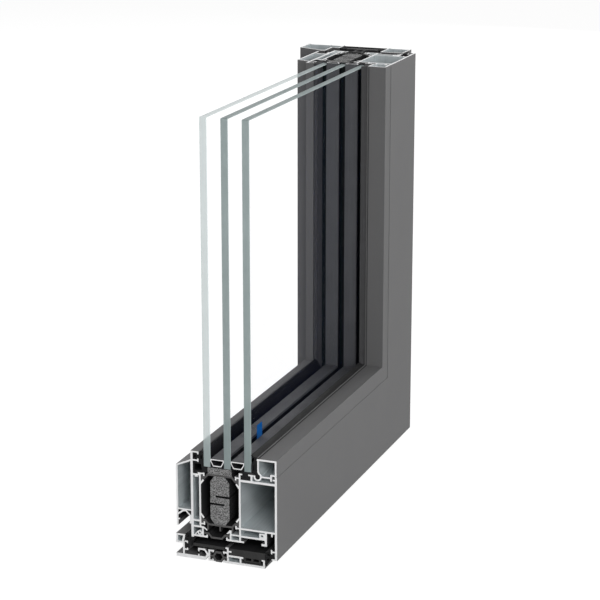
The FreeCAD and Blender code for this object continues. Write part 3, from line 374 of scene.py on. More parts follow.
class Effects:
    """Effects that several finishes share, each a node group built once."""

    outputs: ClassVar[tuple[str, ...]] = ("Mask", "Height")
    mask_range: ClassVar[tuple[float, float]] = (0.3, 0.7)
    grain_detail: ClassVar[float] = 3.0
    grain_roughness: ClassVar[float] = 0.6
    waver_scale: ClassVar[float] = 60.0
    waver_detail: ClassVar[float] = 2.0
    waver_reach: ClassVar[float] = 3.0
    arc_detail: ClassVar[float] = 3.0

    def __init__(self) -> None:
        """Build every group."""
        self.grain = self.build_grain()
        self.saw_marks = self.build_saw_marks()

    def start(self, name: str, inputs: dict[str, tuple[str, object]]
              ) -> tuple[Graph, bpy.types.Node, bpy.types.Node]:
        """Begin a group with named sockets.

        Args:
            name: Name of the group.
            inputs: Socket kind and default of each input.

        Returns:
            The group's graph, its input node and its output node.
        """
        tree = bpy.data.node_groups.new(name, "ShaderNodeTree")
        for label, (kind, default) in inputs.items():
            socket = tree.interface.new_socket(label, in_out="INPUT", socket_type=kind)
            socket.default_value = default
        for label in self.outputs:
            tree.interface.new_socket(label, in_out="OUTPUT", socket_type="NodeSocketFloat")
        graph = Graph(tree)
        return graph, graph.add("NodeGroupInput"), graph.add("NodeGroupOutput")

    def put_out(self, graph: Graph, out: bpy.types.Node,
                pattern: bpy.types.NodeSocket) -> bpy.types.NodeTree:
        """Put out a pattern as a mask and as a height.

        Args:
            graph: Graph of the group.
            out: Its output node.
            pattern: The pattern.

        Returns:
            The group.
        """
        graph.fill(out, {"Mask": graph.contrast(pattern, *self.mask_range), "Height": pattern})
        return graph.tree

    def build_grain(self) -> bpy.types.NodeTree:
        """Fine unevenness, drawn out along a run where Stretch says so.

        Returns:
            The group.
        """
        graph, given, out = self.start("grain", {
            "Scale": ("NodeSocketFloat", 400.0), "Stretch": ("NodeSocketVector", (1, 1, 1))})
        place = graph.add("TexCoord").outputs["Object"]
        drawn = graph.add("VectorMath", {0: place, 1: given.outputs["Stretch"]},
                          operation="MULTIPLY").outputs[0]
        cloud = graph.add("TexNoise", {
            "Vector": drawn, "Scale": given.outputs["Scale"], "Detail": self.grain_detail,
            "Roughness": self.grain_roughness}).outputs["Fac"]
        return self.put_out(graph, out, cloud)

    def build_saw_marks(self) -> bpy.types.NodeTree:
        """Shallow arcs that a round saw blade leaves on a cut face.

        Returns:
            The group.
        """
        graph, given, out = self.start("saw_marks", {
            "Spacing": ("NodeSocketFloat", 0.0009), "Centre": ("NodeSocketVector", (0, 0, 0))})
        place = graph.add("TexCoord").outputs["Object"]
        radius = graph.add("VectorMath", {0: place, 1: given.outputs["Centre"]},
                           operation="DISTANCE").outputs["Value"]
        waver = graph.add("TexNoise", {"Vector": place, "Scale": self.waver_scale,
                                       "Detail": self.waver_detail}).outputs["Fac"]
        turns = graph.math("DIVIDE", radius, given.outputs["Spacing"])
        shifted = graph.math("MULTIPLY_ADD", waver, self.waver_reach, turns)
        arcs = graph.add("TexNoise", {"W": shifted, "Scale": 1.0, "Detail": self.arc_detail},
                         noise_dimensions="1D").outputs["Fac"]
        return self.put_out(graph, out, arcs)


class Finish(ABC):
    """One finish of the sample, made into a material when it is first needed."""

    name: str

    def material(self, effects: Effects) -> bpy.types.Material:
        """The finish as a material, built once and then reused.

        Args:
            effects: The shared effects.

        Returns:
            The material.
        """
        made = bpy.data.materials.get(self.name)
        if made is None:
            made = bpy.data.materials.new(self.name)
            made.use_nodes = True
            graph = Graph(made.node_tree)
            shader = graph.add("BsdfPrincipled")
            graph.add("OutputMaterial", {"Surface": shader.outputs[0]})
            self.shade(graph, shader, effects)
        return made

    @abstractmethod
    def shade(self, graph: Graph, shader: bpy.types.Node, effects: Effects) -> None:
        """Fill in the shader's sockets.

        Args:
            graph: Graph of the material.
            shader: The material's shader.
            effects: The shared effects.
        """


@dataclass(frozen=True)
class PowderCoat(Finish):
    """Matt powder coat with a faint orange-peel relief."""

    name: str
    colour: Colour
    shade_colour: Colour
    roughness: float = 0.47
    roughness_spread: float = 0.12
    gloss: float = 0.1
    fleck_scale: float = 2600.0
    fleck_share: float = 0.7
    drift_scale: float = 22.0
    drift_share: float = 0.3
    peel_scale: float = 700.0
    peel: Relief = (0.00004, 0.5)

    def shade(self, graph: Graph, shader: bpy.types.Node, effects: Effects) -> None:
        """Fill in the shader's sockets.

        Args:
            graph: Graph of the material.
            shader: The material's shader.
            effects: The shared effects.
        """
        fleck = graph.group(effects.grain, scale=self.fleck_scale).outputs["Mask"]
        drift = graph.group(effects.grain, scale=self.drift_scale).outputs["Mask"]
        peel = graph.group(effects.grain, scale=self.peel_scale).outputs["Height"]
        mask = graph.weigh(fleck, self.fleck_share, drift, self.drift_share)
        graph.fill(shader, {
            "Base Color": graph.mix(mask, self.shade_colour, self.colour),
            "Roughness": graph.between(fleck, self.roughness,
                                       self.roughness + self.roughness_spread),
            "Specular IOR Level": self.gloss,
            "Normal": graph.bump(peel, self.peel),
        })


@dataclass(frozen=True)
class SawnFace(Finish):
    """Face left by the saw, with fine arcs across it."""

    name: str
    light: Colour
    dark: Colour
    metallic: float
    roughness: float
    roughness_spread: float = 0.12
    gloss: float = 0.1
    blade_centre: Triple = (-0.1798, 0.33, -0.12)
    fine_spacing: float = 0.00045
    fine_share: float = 0.6
    broad_spacing: float = 0.0042
    broad_share: float = 0.4
    marks: Relief = (0.00003, 0.6)

    def shade(self, graph: Graph, shader: bpy.types.Node, effects: Effects) -> None:
        """Fill in the shader's sockets.

        Args:
            graph: Graph of the material.
            shader: The material's shader.
            effects: The shared effects.
        """
        fine = graph.group(effects.saw_marks, spacing=self.fine_spacing,
                           centre=self.blade_centre)
        broad = graph.group(effects.saw_marks, spacing=self.broad_spacing,
                            centre=self.blade_centre)
        mask = graph.weigh(broad.outputs["Mask"], self.broad_share,
                           fine.outputs["Mask"], self.fine_share)
        graph.fill(shader, {
            "Base Color": graph.mix(mask, self.dark, self.light),
            "Metallic": self.metallic,
            "Roughness": graph.between(fine.outputs["Mask"], self.roughness,
                                       self.roughness + self.roughness_spread),
            "Specular IOR Level": self.gloss,
            "Normal": graph.bump(fine.outputs["Height"], self.marks),
        })


@dataclass(frozen=True)
class MillFinish(Finish):
    """Bare extruded aluminium, with die lines along the run."""

    name: str
    light: Colour
    dark: Colour
    stretch: Triple
    metallic: float = 0.3
    roughness: float = 0.42
    roughness_spread: float = 0.18
    line_scale: float = 900.0
    line_share: float = 0.55
    band_scale: float = 160.0
    band_share: float = 0.45
    lines: Relief = (0.00002, 0.4)

    def shade(self, graph: Graph, shader: bpy.types.Node, effects: Effects) -> None:
        """Fill in the shader's sockets.

        Args:
            graph: Graph of the material.
            shader: The material's shader.
            effects: The shared effects.
        """
        lines = graph.group(effects.grain, scale=self.line_scale, stretch=self.stretch)
        bands = graph.group(effects.grain, scale=self.band_scale,
                            stretch=self.stretch).outputs["Mask"]
        mask = graph.weigh(lines.outputs["Mask"], self.line_share, bands, self.band_share)
        graph.fill(shader, {
            "Base Color": graph.mix(mask, self.dark, self.light),
            "Metallic": self.metallic,
            "Roughness": graph.between(bands, self.roughness,
                                       self.roughness + self.roughness_spread),
            "Normal": graph.bump(lines.outputs["Height"], self.lines),
        })


@dataclass(frozen=True)
class Moulding(Finish):
    """Black rubber or plastic, with faint lines from the die."""

    name: str
    colour: Colour
    worn: Colour
    roughness: float
    stretch: Triple = (1.0, 1.0, 1.0)
    roughness_spread: float = 0.15
    sheen: float = 0.0
    gloss: float = 0.2
    line_scale: float = 1100.0
    dust_scale: float = 45.0
    lines: Relief = (0.00003, 0.6)

    def shade(self, graph: Graph, shader: bpy.types.Node, effects: Effects) -> None:
        """Fill in the shader's sockets.

        Args:
            graph: Graph of the material.
            shader: The material's shader.
            effects: The shared effects.
        """
        lines = graph.group(effects.grain, scale=self.line_scale, stretch=self.stretch)
        dust = graph.group(effects.grain, scale=self.dust_scale).outputs["Mask"]
        mask = graph.math("MULTIPLY", lines.outputs["Mask"], dust)
        graph.fill(shader, {
            "Base Color": graph.mix(mask, self.colour, self.worn),
            "Roughness": graph.between(dust, self.roughness,
                                       self.roughness + self.roughness_spread),
            "Sheen Weight": self.sheen,
            "Specular IOR Level": self.gloss,
            "Normal": graph.bump(lines.outputs["Height"], self.lines),
        })


@dataclass(frozen=True)
class CellFoam(Finish):
    """Closed-cell foam: pale cell walls around small dark pores."""

    name: str
    wall: Colour
    pore: Colour
    roughness: float = 0.95
    gloss: float = 0.15
    cell_scale: float = 1700.0
    cell_range: tuple[float, float] = (0.1, 0.62)
    clump_scale: float = 1500.0
    clump_detail: float = 3.0
    clump_roughness: float = 0.75
    clump_range: tuple[float, float] = (0.4, 0.6)
    wall_share: float = 0.55
    pores: Relief = (0.0002, 0.8)

    def shade(self, graph: Graph, shader: bpy.types.Node, effects: Effects) -> None:
        """Fill in the shader's sockets.

        Args:
            graph: Graph of the material.
            shader: The material's shader.
            effects: The shared effects.
        """
        place = graph.add("TexCoord").outputs["Object"]
        distance = graph.add("TexVoronoi", {"Vector": place,
                                            "Scale": self.cell_scale}).outputs["Distance"]
        cloud = graph.add("TexNoise", {
            "Vector": place, "Scale": self.clump_scale, "Detail": self.clump_detail,
            "Roughness": self.clump_roughness}).outputs["Fac"]
        cells = graph.contrast(distance, *self.cell_range)
        clumps = graph.contrast(cloud, *self.clump_range)
        walls = graph.math("ADD", graph.math("MULTIPLY", cells, clumps), clumps)
        share = graph.math("MULTIPLY", walls, self.wall_share)
        graph.fill(shader, {
            "Base Color": graph.mix(share, self.pore, self.wall),
            "Roughness": self.roughness,
            "Specular IOR Level": self.gloss,
            "Normal": graph.bump(share, self.pores),
        })


@dataclass(frozen=True)
class ClearPane(Finish):
    """Flat face of a pane: nearly all of it is clear, with a weak reflection."""

    name: str
    tint: Colour
    cover: float
    cover_spread: float = 0.1
    roughness: float = 0.02
    roughness_spread: float = 0.03
    film_scale: float = 9.0

    def shade(self, graph: Graph, shader: bpy.types.Node, effects: Effects) -> None:
        """Fill in the shader's sockets.

        Args:
            graph: Graph of the material.
            shader: The material's shader.
            effects: The shared effects.
        """
        film = graph.group(effects.grain, scale=self.film_scale).outputs["Mask"]
        thin, thick = (self.cover * (1.0 + way * self.cover_spread) for way in (-1.0, 1.0))
        graph.fill(shader, {
            "Base Color": self.tint,
            "Metallic": 0.0,
            "Transmission Weight": 0.0,
            "Roughness": graph.between(film, self.roughness,
                                       self.roughness + self.roughness_spread),
            "Alpha": graph.between(film, thin, thick),
        })


@dataclass(frozen=True)
class GroundEdge(Finish):
    """Ground edge of a pane: grey-green, a little see-through, with grinding lines."""

    name: str
    light: Colour
    dark: Colour
    cover: float
    roughness: float = 0.3
    roughness_spread: float = 0.2
    gloss: float = 0.1
    line_scale: float = 500.0
    line_stretch: Triple = (0.1, 1.0, 0.1)
    line_share: float = 0.35
    cloud_scale: float = 18.0
    cloud_stretch: Triple = (1.0, 0.2, 1.0)
    cloud_share: float = 0.65
    lines: Relief = (0.00002, 0.4)

    def shade(self, graph: Graph, shader: bpy.types.Node, effects: Effects) -> None:
        """Fill in the shader's sockets.

        Args:
            graph: Graph of the material.
            shader: The material's shader.
            effects: The shared effects.
        """
        lines = graph.group(effects.grain, scale=self.line_scale, stretch=self.line_stretch)
        cloud = graph.group(effects.grain, scale=self.cloud_scale, stretch=self.cloud_stretch)
        mask = graph.weigh(lines.outputs["Mask"], self.line_share,
                           cloud.outputs["Mask"], self.cloud_share)
        graph.fill(shader, {
            "Base Color": graph.mix(mask, self.dark, self.light),
            "Metallic": 0.0,
            "Transmission Weight": 0.0,
            "Roughness": graph.between(lines.outputs["Mask"], self.roughness,
                                       self.roughness + self.roughness_spread),
            "Alpha": self.cover,
            "Specular IOR Level": self.gloss,
            "Normal": graph.bump(lines.outputs["Height"], self.lines),
        })


@dataclass(frozen=True)
class StickerFilm(Finish):
    """Plain blue film."""

    name: str
    colour: Colour
    shade_colour: Colour
    roughness: float = 0.35
    roughness_spread: float = 0.15
    gloss: float = 0.1
    ink_scale: float = 3000.0
    ink: Relief = (0.00001, 0.4)

    def shade(self, graph: Graph, shader: bpy.types.Node, effects: Effects) -> None:
        """Fill in the shader's sockets.

        Args:
            graph: Graph of the material.
            shader: The material's shader.
            effects: The shared effects.
        """
        ink = graph.group(effects.grain, scale=self.ink_scale)
        graph.fill(shader, {
            "Base Color": graph.mix(ink.outputs["Mask"], self.shade_colour, self.colour),
            "Roughness": graph.between(ink.outputs["Mask"], self.roughness,
                                       self.roughness + self.roughness_spread),
            "Specular IOR Level": self.gloss,
            "Normal": graph.bump(ink.outputs["Height"], self.ink),
        })


# Grain drawn out along the rail and the sill, or along the stile and the jamb.
ALONG_SILL: Triple = (0.02, 1.0, 1.0)
UPRIGHT: Triple = (1.0, 1.0, 0.02)


def along(run: Run) -> Triple:
    """Stretch of the grain for pieces of a run."""
    return ALONG_SILL if run in (Run.RAIL, Run.SILL) else UPRIGHT


@dataclass(frozen=True)
class Palette:
    """Every finish of the sample."""

    coat: PowderCoat = PowderCoat("grey_powder_coat", srgb(112, 112, 112), srgb(106, 106, 107))
    sawn: SawnFace = SawnFace("sawn_aluminium", srgb(254, 254, 254), srgb(240, 241, 242),
                              0.3, 0.4)
    sawn_isolator: SawnFace = SawnFace("sawn_isolator", srgb(108, 107, 107), srgb(94, 94, 94),
                                       0.0, 0.6)
    sawn_rubber: SawnFace = SawnFace("sawn_rubber", srgb(40, 40, 41), srgb(28, 28, 29), 0.0, 0.65)
    sawn_cover: SawnFace = SawnFace("sawn_cover", srgb(70, 70, 70), srgb(60, 60, 60), 0.0, 0.6)
    foam: CellFoam = CellFoam("grey_cell_foam", srgb(196, 196, 196), srgb(60, 60, 60))
    # Long sides and slits of the foam: a dark copy of the foam, as painted shade.
    shaded_foam_side: CellFoam = CellFoam("shaded_foam_side", srgb(52, 52, 53), srgb(26, 26, 27))
    pane: ClearPane = ClearPane("clear_pane", srgb(34, 56, 112), 0.009)
    edge: GroundEdge = GroundEdge("ground_edge", srgb(170, 184, 184), srgb(151, 165, 165), 0.96)
    pale_edge: GroundEdge = GroundEdge("pale_ground_edge", srgb(216, 230, 230),
                                       srgb(202, 217, 217), 0.7)
    # Top edges of the inner panes: a darker copy of the ground edge, as painted shade.
    shaded_top_edge: GroundEdge = GroundEdge("ground_top_edge", srgb(158, 172, 172),
                                      srgb(136, 151, 151), 0.97)
    # Edges turned into the leaf: near-black, as painted shade.
    shaded_buried_edge: GroundEdge = GroundEdge("shaded_buried_edge", srgb(26, 36, 33), srgb(14, 20, 19), 1.0)
    # Painted highlight: grey rubber along the wedge gasket's lip, standing in for the light line
    # it catches.
    painted_highlight: Moulding = Moulding("grey_painted_highlight", srgb(98, 98, 98), srgb(84, 84, 84), 0.5,
                                  (0.05, 1.0, 0.05))
    sticker: StickerFilm = StickerFilm("blue_film", srgb(6, 97, 178), srgb(2, 82, 152))

    @staticmethod
    def mill(run: Run) -> MillFinish:
        """Bare metal of a chamber, with its lines along the run."""
        return MillFinish("mill_finish_" + run.value, srgb(208, 214, 216), srgb(186, 193, 195),
                          along(run))

    @staticmethod
    def isolator(run: Run) -> Moulding:
        """Skin of the plastic isolators."""
        return Moulding("isolator_skin_" + run.value, srgb(34, 34, 35), srgb(52, 52, 53), 0.5,
                        along(run))

    @staticmethod
    def rubber(run: Run) -> Moulding:
        """Skin of the gaskets."""
        return Moulding("rubber_skin_" + run.value, srgb(38, 38, 40), srgb(58, 58, 60), 0.55,
                        along(run), sheen=0.08)

    @staticmethod
    def lip(run: Run) -> Moulding:
        """Skin of the outer glazing gasket: near-black on the rail as painted shade, paler on the
        stile as painted light.

        Args:
            run: The run of the gasket.

        Returns:
            The finish.
        """
        # Same rubber on both runs: the rail copy is near-black as painted shade, the stile copy
        # paler as painted light.
        if run is Run.RAIL:
            return Moulding("shaded_lip_rubber", srgb(9, 9, 10), srgb(18, 18, 19), 0.6, along(run))
        return Moulding("lit_lip_rubber", srgb(60, 60, 63), srgb(74, 74, 77), 0.6, along(run),
                        sheen=0.08)

    @staticmethod
    def wedge(run: Run) -> Moulding:
        """Skin of the wedge gasket: near-black on the rail as painted shade, paler up the stile as
        painted light.

        Args:
            run: The run of the gasket.

        Returns:
            The finish.
        """
        # Same rubber on both runs: the rail copy is near-black as painted shade, the stile copy
        # paler as painted light.
        if run is Run.RAIL:
            return Moulding("wedge_rubber", srgb(10, 10, 11), srgb(18, 18, 20), 0.6, along(run),
                            sheen=0.05)
        return Moulding("lit_wedge_rubber", srgb(56, 56, 57), srgb(74, 74, 76), 0.55, along(run),
                        sheen=0.08)

    @staticmethod
    def sealant(run: Run) -> Moulding:
        """Black sealant between the panes."""
        return Moulding("sealant_" + run.value, srgb(10, 10, 11), srgb(20, 20, 21), 0.6,
                        along(run), gloss=0.1, lines=(0.00012, 0.6))

    @staticmethod
    def cover(run: Run) -> Moulding:
        """Skin of the sill's plastic covers."""
        return Moulding("cover_skin_" + run.value, srgb(30, 30, 31), srgb(44, 44, 45), 0.6,
                        along(run))

    @staticmethod
    def shaded(run: Run) -> Moulding:
        """Painted shade: dark colour on the inner side of the shells, where the insulation sits,
        and in other deep hollows.
        """
        return Moulding("painted_shade_" + run.value, srgb(36, 36, 38), srgb(48, 48, 50), 0.6,
                        along(run))

    @staticmethod
    def spacer(run: Run) -> Moulding:
        """Skin of the spacer bars."""
        return Moulding("spacer_skin_" + run.value, srgb(84, 85, 88), srgb(74, 75, 78), 0.45,
                        along(run))


PALETTE = Palette()


@dataclass
class Dresser:
    """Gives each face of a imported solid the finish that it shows."""

    grid: Grid
    effects: Effects

    def skin_of(self, run: Run, centre: Vector, normal: Vector, chambers: Iterable[Area],
                shaded: Iterable[Area]) -> Skin:
        """What a face shows, from where it is and how it lies.

        Args:
            run: The run of the piece.
            centre: Middle of the face.
            normal: Its outward direction.
            chambers: Areas whose walls are bare metal.
            shaded: Areas whose walls take a dark colour as painted shade.

        Returns:
            The kind of face.
        """
        across_the_run = abs(normal.z) if run in (Run.STILE, Run.JAMB) else abs(normal.x)
        if across_the_run > FLAT:
            return Skin.SAWN
        first, second = self.grid.section(run, centre + normal * FACE_REACH)
        if any(area.holds(first, second) for area in chambers):
            return Skin.CHAMBER
        if any(area.holds(first, second) for area in shaded):
            return Skin.SHADED
        return Skin.OUTSIDE

    def dress(self, node: str, run: Run, finishes: dict[Skin, Finish],
              chambers: Sequence[Area] = (), shaded: Sequence[Area] = ()) -> None:
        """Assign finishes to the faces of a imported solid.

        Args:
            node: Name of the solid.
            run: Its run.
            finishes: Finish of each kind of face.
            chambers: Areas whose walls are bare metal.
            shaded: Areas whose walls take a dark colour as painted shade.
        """
        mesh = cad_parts[node].data
        mesh.materials.clear()
        slots = {skin: number for number, skin in enumerate(finishes)}
        for finish in finishes.values():
            mesh.materials.append(finish.material(self.effects))
        for face in mesh.polygons:
            skin = self.skin_of(run, face.center, face.normal, chambers, shaded)
            face.material_index = slots.get(skin, slots[Skin.OUTSIDE])
        log.info("dressed %s, %d faces", node, len(mesh.polygons))


@dataclass
class Maker:
    """Builds new pieces from sections and places them in the scene."""

    grid: Grid
    effects: Effects

    def add(self, name: str, mesh: bpy.types.Mesh, slot: str | None,
            replaced: Sequence[str]) -> bpy.types.Object:
        """Put a finished mesh in the scene as a piece of the sample.

        Args:
            name: Name of the piece.
            mesh: Its mesh, in the shared frame.
            slot: Material slot of the record meant for the piece; not used.
            replaced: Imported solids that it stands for.

        Returns:
            The piece.
        """
        piece = bpy.data.objects.new(name, mesh)
        bpy.context.scene.collection.objects.link(piece)
        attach(piece, BODY)
        if replaced:
            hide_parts(*replaced)
        log.info("built %s, %d faces", name, len(mesh.polygons))
        return piece

    def ends(self, run: Run, level: float, start: float | None, end: float | None,
             butt_level: float | None) -> tuple[float, float]:
        """Where the line of a section point starts and ends.

        Args:
            run: The run of the piece.
            level: Level of the point.
            start: Where the piece starts, or None for the corner joint.
            end: Where it ends, or None for the corner joint.
            butt_level: Level below which the joint is square against the other run.

        Returns:
            Both distances along the run.
        """
        joint = self.grid.mitre(run, max(level, butt_level or level))
        return (joint if start is None else start, joint if end is None else end)

    def draw_out(self, name: str, profile: Profile, run: Run, start: float | None,
                 end: float | None, finishes: tuple[Finish, Finish], slot: str | None,
                 replaced: Sequence[str] = (),
                 butt_level: float | None = None) -> bpy.types.Object:
        """Draw a section out along its run.

        Args:
            name: Name of the piece.
            profile: The section.
            run: Its run.
            start: Where it starts, or None for the corner joint.
            end: Where it ends, or None for the corner joint.
            finishes: Finish of the skin and of the sawn ends.
            slot: Material slot of the record.
            replaced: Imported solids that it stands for.
            butt_level: Level below which the corner joint is square.

        Returns:
            The piece.
        """
        loops = profile.loops()
        flat = [point for loop in loops for point in loop]
        count = len(flat)
        corners = [self.ends(run, point[1], start, end, butt_level) for point in flat]
        verts = [self.grid.place(run, *point, low) for point, (low, _) in zip(flat, corners)]
        verts += [self.grid.place(run, *point, high) for point, (_, high) in zip(flat, corners)]
        faces: list[tuple[int, ...]] = []
        first = 0
        for loop in loops:
            numbers = [first + index for index in range(len(loop))]
            for here, after in zip(numbers, numbers[1:] + numbers[:1]):
                faces.append((here, after, after + count, here + count))
            first += len(loop)
        skin_count = len(faces)
        for triangle in tessellate_polygon([[Vector((*p, 0.0)) for p in loop] for loop in loops]):
            faces.append(tuple(reversed(triangle)))
            faces.append(tuple(number + count for number in triangle))
        mesh = bpy.data.meshes.new(name)
        mesh.from_pydata(verts, [], faces)
        for finish in finishes:
            mesh.materials.append(finish.material(self.effects))
        for face in mesh.polygons:
            face.material_index = 0 if face.index < skin_count else 1
        self.tidy(mesh)
        return self.add(name, mesh, slot, replaced)

    @staticmethod
    def tidy(mesh: bpy.types.Mesh) -> None:
        """Turn all faces outwards and keep hard edges hard.

        Args:
            mesh: The mesh.
        """
        work = bmesh.new()
        work.from_mesh(mesh)
        bmesh.ops.recalc_face_normals(work, faces=work.faces)
        work.to_mesh(mesh)
        work.free()
        mesh.set_sharp_from_angle(angle=SHARP_EDGE)
        mesh.update()


LEAF_RUNS = (Run.RAIL, Run.STILE)
LEAF_CHAMBERS = (
    # Room side: main chamber, lower chamber, the two cells behind it, bead groove.
    Area.room(1.8, 23.5, 30.3, 61.8), Area.room(10.3, 17.1, 30.3, 22.0),
    Area.room(31.8, 12.6, 38.3, 16.0), Area.room(31.8, 17.2, 38.3, 20.0),
    Area.room(1.8, 63.6, 20.4, 67.5),
    # Weather side: outer box, narrow chamber and the two cells below that.
    Area(((72.45, 33.2), (83.45, 33.2), (83.45, 68.85), (72.45, 73.5))),
    Area.room(65.35, 25.5, 70.45, 62.4), Area.room(63.35, 12.8, 70.45, 19.0),
    Area.room(65.35, 20.5, 70.45, 24.0),
    # Inside of the glazing bead.
    Area(((1.8, 70.85), (5.55, 70.85), (5.55, 68.65), (12.7, 68.65), (12.7, 69.68),
          (14.0, 70.68), (14.9, 72.38), (14.9, 81.0), (1.8, 81.0))),
)
# Areas whose walls take a dark colour as painted shade.
LEAF_SHADED = (
    # Around the isolators: between the shells and below them.
    Area.room(31.8, 20.0, 63.9, 65.2), Area.room(39.8, 12.6, 61.9, 22.0),
    # Around the stop gasket, under the setting strip, around the outer glazing gasket.
    Area.room(1.8, 1.2, 8.5, 22.0), Area.room(21.9, 63.6, 30.3, 68.7),
    Area.room(65.95, 64.0, 70.45, 82.0),
    # Under the outer box.
    Area.room(72.45, 22.0, 83.45, 32.0),
)


@dataclass
class LeafShells:
    """Aluminium of the leaf: inner and outer shells and the glazing beads."""

    dresser: Dresser
    nodes: tuple[str, ...] = ("inner_shell", "outer_shell", "bead")

    def dress(self) -> None:
        """Finish every shell by face."""
        for run in LEAF_RUNS:
            finishes = {Skin.OUTSIDE: PALETTE.coat, Skin.SAWN: PALETTE.sawn,
                        Skin.CHAMBER: PALETTE.mill(run), Skin.SHADED: PALETTE.shaded(run)}
            for node in self.nodes:
                self.dresser.dress(run.value + "_" + node, run, finishes, LEAF_CHAMBERS,
                                   LEAF_SHADED)


@dataclass
class LeafIsolators:
    """Plastic strips between the two shells of the leaf."""

    dresser: Dresser
    nodes: tuple[str, ...] = ("upper_isolator", "lower_isolator", "sole_isolator")

    def dress(self) -> None:
        """Finish skins and sawn ends."""
        for run in LEAF_RUNS:
            finishes = {Skin.OUTSIDE: PALETTE.isolator(run), Skin.SAWN: PALETTE.sawn_isolator}
            for node in self.nodes:
                self.dresser.dress(run.value + "_" + node, run, finishes)


@dataclass
class LeafFoam:
    """Foam core between the isolators and foam tape under the glass, with torn cell walls."""

    maker: Maker
    core: Loop = (
        (43.35, 23.7), (52.35, 23.7), (55.85, 28.3), (55.85, 39.6), (44.25, 39.6), (44.25, 41.3),
        (55.85, 41.3), (55.85, 58.9), (52.35, 63.5), (43.35, 63.5), (39.85, 58.9), (39.85, 47.8),
        (51.45, 47.8), (51.45, 46.1), (39.85, 46.1), (39.85, 28.3),
    )
    tape: Loop = ((37.85, 65.1), (57.85, 65.1), (57.85, 70.4), (37.85, 70.4))
    corner: float = 0.15
    # Size of a cell in millimetres, and the share of it that stays clear along the rim.
    cell: float = 0.75
    clearance: float = 0.6
    # How deep the saw tears the cells in millimetres, less along the rim, and how that varies.
    tear: float = 0.22
    rim_tear: float = 0.1
    mean_tear: float = 0.5
    coarse_scale: float = 900.0
    coarse_tear: float = 0.2
    fine_scale: float = 2300.0
    fine_tear: float = 0.4
    # How far the points of the mesh stray from their rows.
    scatter: float = 0.25
    scatter_scale: float = 3.7
    scatter_aside: Triple = (0.0, 0.0, 31.4)

    def build(self) -> None:
        """Build core and tape of the rail and of the stile."""
        for run in LEAF_RUNS:
            for name, outline in (("foam_core", self.core), ("foam_tape", self.tape)):
                self.build_block(run.value + "_" + name, run,
                                 Profile(outline, radius=self.corner))

    def torn(self, place: Vector) -> float:
        """How far the sawn face is torn back at a place.

        Args:
            place: The place in metres.

        Returns:
            The depth in millimetres.
        """
        coarse = self.coarse_tear * noise.noise(place * self.coarse_scale)
        fine = self.fine_tear * noise.noise(place * self.fine_scale)
        return self.tear * (self.mean_tear + coarse + fine)

    def build_block(self, name: str, run: Run, profile: Profile) -> None:
        """One length of foam, its sawn end meshed finely enough to show its cells.

        Args:
            name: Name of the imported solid, which is also used for the piece.
            run: The run it lies in.
            profile: Its section.
        """
        grid = self.maker.grid
        sawn, towards = (0.0, 1.0) if run is Run.RAIL else (grid.top, -1.0)
        rim = self.divided(profile.loops()[0])
        inner = self.scattered(rim)
        rim_edges = [(index, (index + 1) % len(rim)) for index in range(len(rim))]
        points = [Vector(point) for point in (*rim, *inner)]
        flat, _, triangles, *_ = delaunay_2d_cdt(points, rim_edges, [], KEEP_INSIDE, SAME_POINT)
        verts: list[Vector] = []
        for number, point in enumerate(flat):
            place = grid.place(run, point.x, point.y, sawn)
            depth = self.torn(place) * (self.rim_tear if number < len(rim) else 1.0)
            verts.append(grid.place(run, point.x, point.y, sawn + towards * max(depth, 0.0)))
        faces = [tuple(face) for face in triangles]
        base = len(verts)
        verts += [grid.place(run, *point, grid.mitre(run, point[1])) for point in rim]
        for here, after in rim_edges:
            faces.append((here, after, base + after, base + here))
        for triangle in tessellate_polygon([[Vector((*point, 0.0)) for point in rim]]):
            faces.append(tuple(base + number for number in triangle))
        mesh = bpy.data.meshes.new(name + "_torn")
        mesh.from_pydata(verts, [], faces)
        # Sawn end in pale foam; long sides and slits in the dark copy, as painted shade.
        for finish in (PALETTE.foam, PALETTE.shaded_foam_side):
            mesh.materials.append(finish.material(self.maker.effects))
        for face in mesh.polygons:
            face.material_index = int(face.index >= len(triangles))
        self.maker.tidy(mesh)
        self.maker.add(name + "_torn", mesh, "grey_foam", [name])

    def divided(self, loop: Loop) -> list[Point]:
        """The loop with long edges divided to the size of a cell.

        Args:
            loop: The loop.

        Returns:
            Its points.
        """
        points: list[Point] = []
        for index, corner in enumerate(loop):
            start, end = Vector(corner), Vector(loop[(index + 1) % len(loop)])
            parts = max(1, round((end - start).length / self.cell))
            points += [tuple(start.lerp(end, part / parts)) for part in range(parts)]
        return points

    def scattered(self, rim: Loop) -> list[Point]:
        """Points spread inside the rim, a cell apart and slightly out of line.

        Args:
            rim: The rim.

        Returns:
            The points.
        """
        low = Vector((min(p[0] for p in rim), min(p[1] for p in rim)))
        high = Vector((max(p[0] for p in rim), max(p[1] for p in rim)))
        points: list[Point] = []
        for row in range(1, int((high.y - low.y) / self.cell)):
            for column in range(1, int((high.x - low.x) / self.cell)):
                spot = low + Vector((column, row)) * self.cell
                here = spot.to_3d() * self.scatter_scale
                aside = here + Vector(self.scatter_aside)
                spot = spot + Vector((noise.noise(here), noise.noise(aside))) * self.scatter
                if self.inside(rim, spot):
                    points.append((spot.x, spot.y))
        return points

    def inside(self, rim: Loop, spot: Vector) -> bool:
        """Whether a spot lies inside the rim and clear of its points.

        Args:
            rim: The rim.
            spot: The spot.

        Returns:
            True where a point of the mesh may lie.
        """
        least = self.cell * self.clearance
        near = any((Vector(corner) - spot).length < least for corner in rim)
        return not near and Area(rim).holds(spot.x, spot.y)


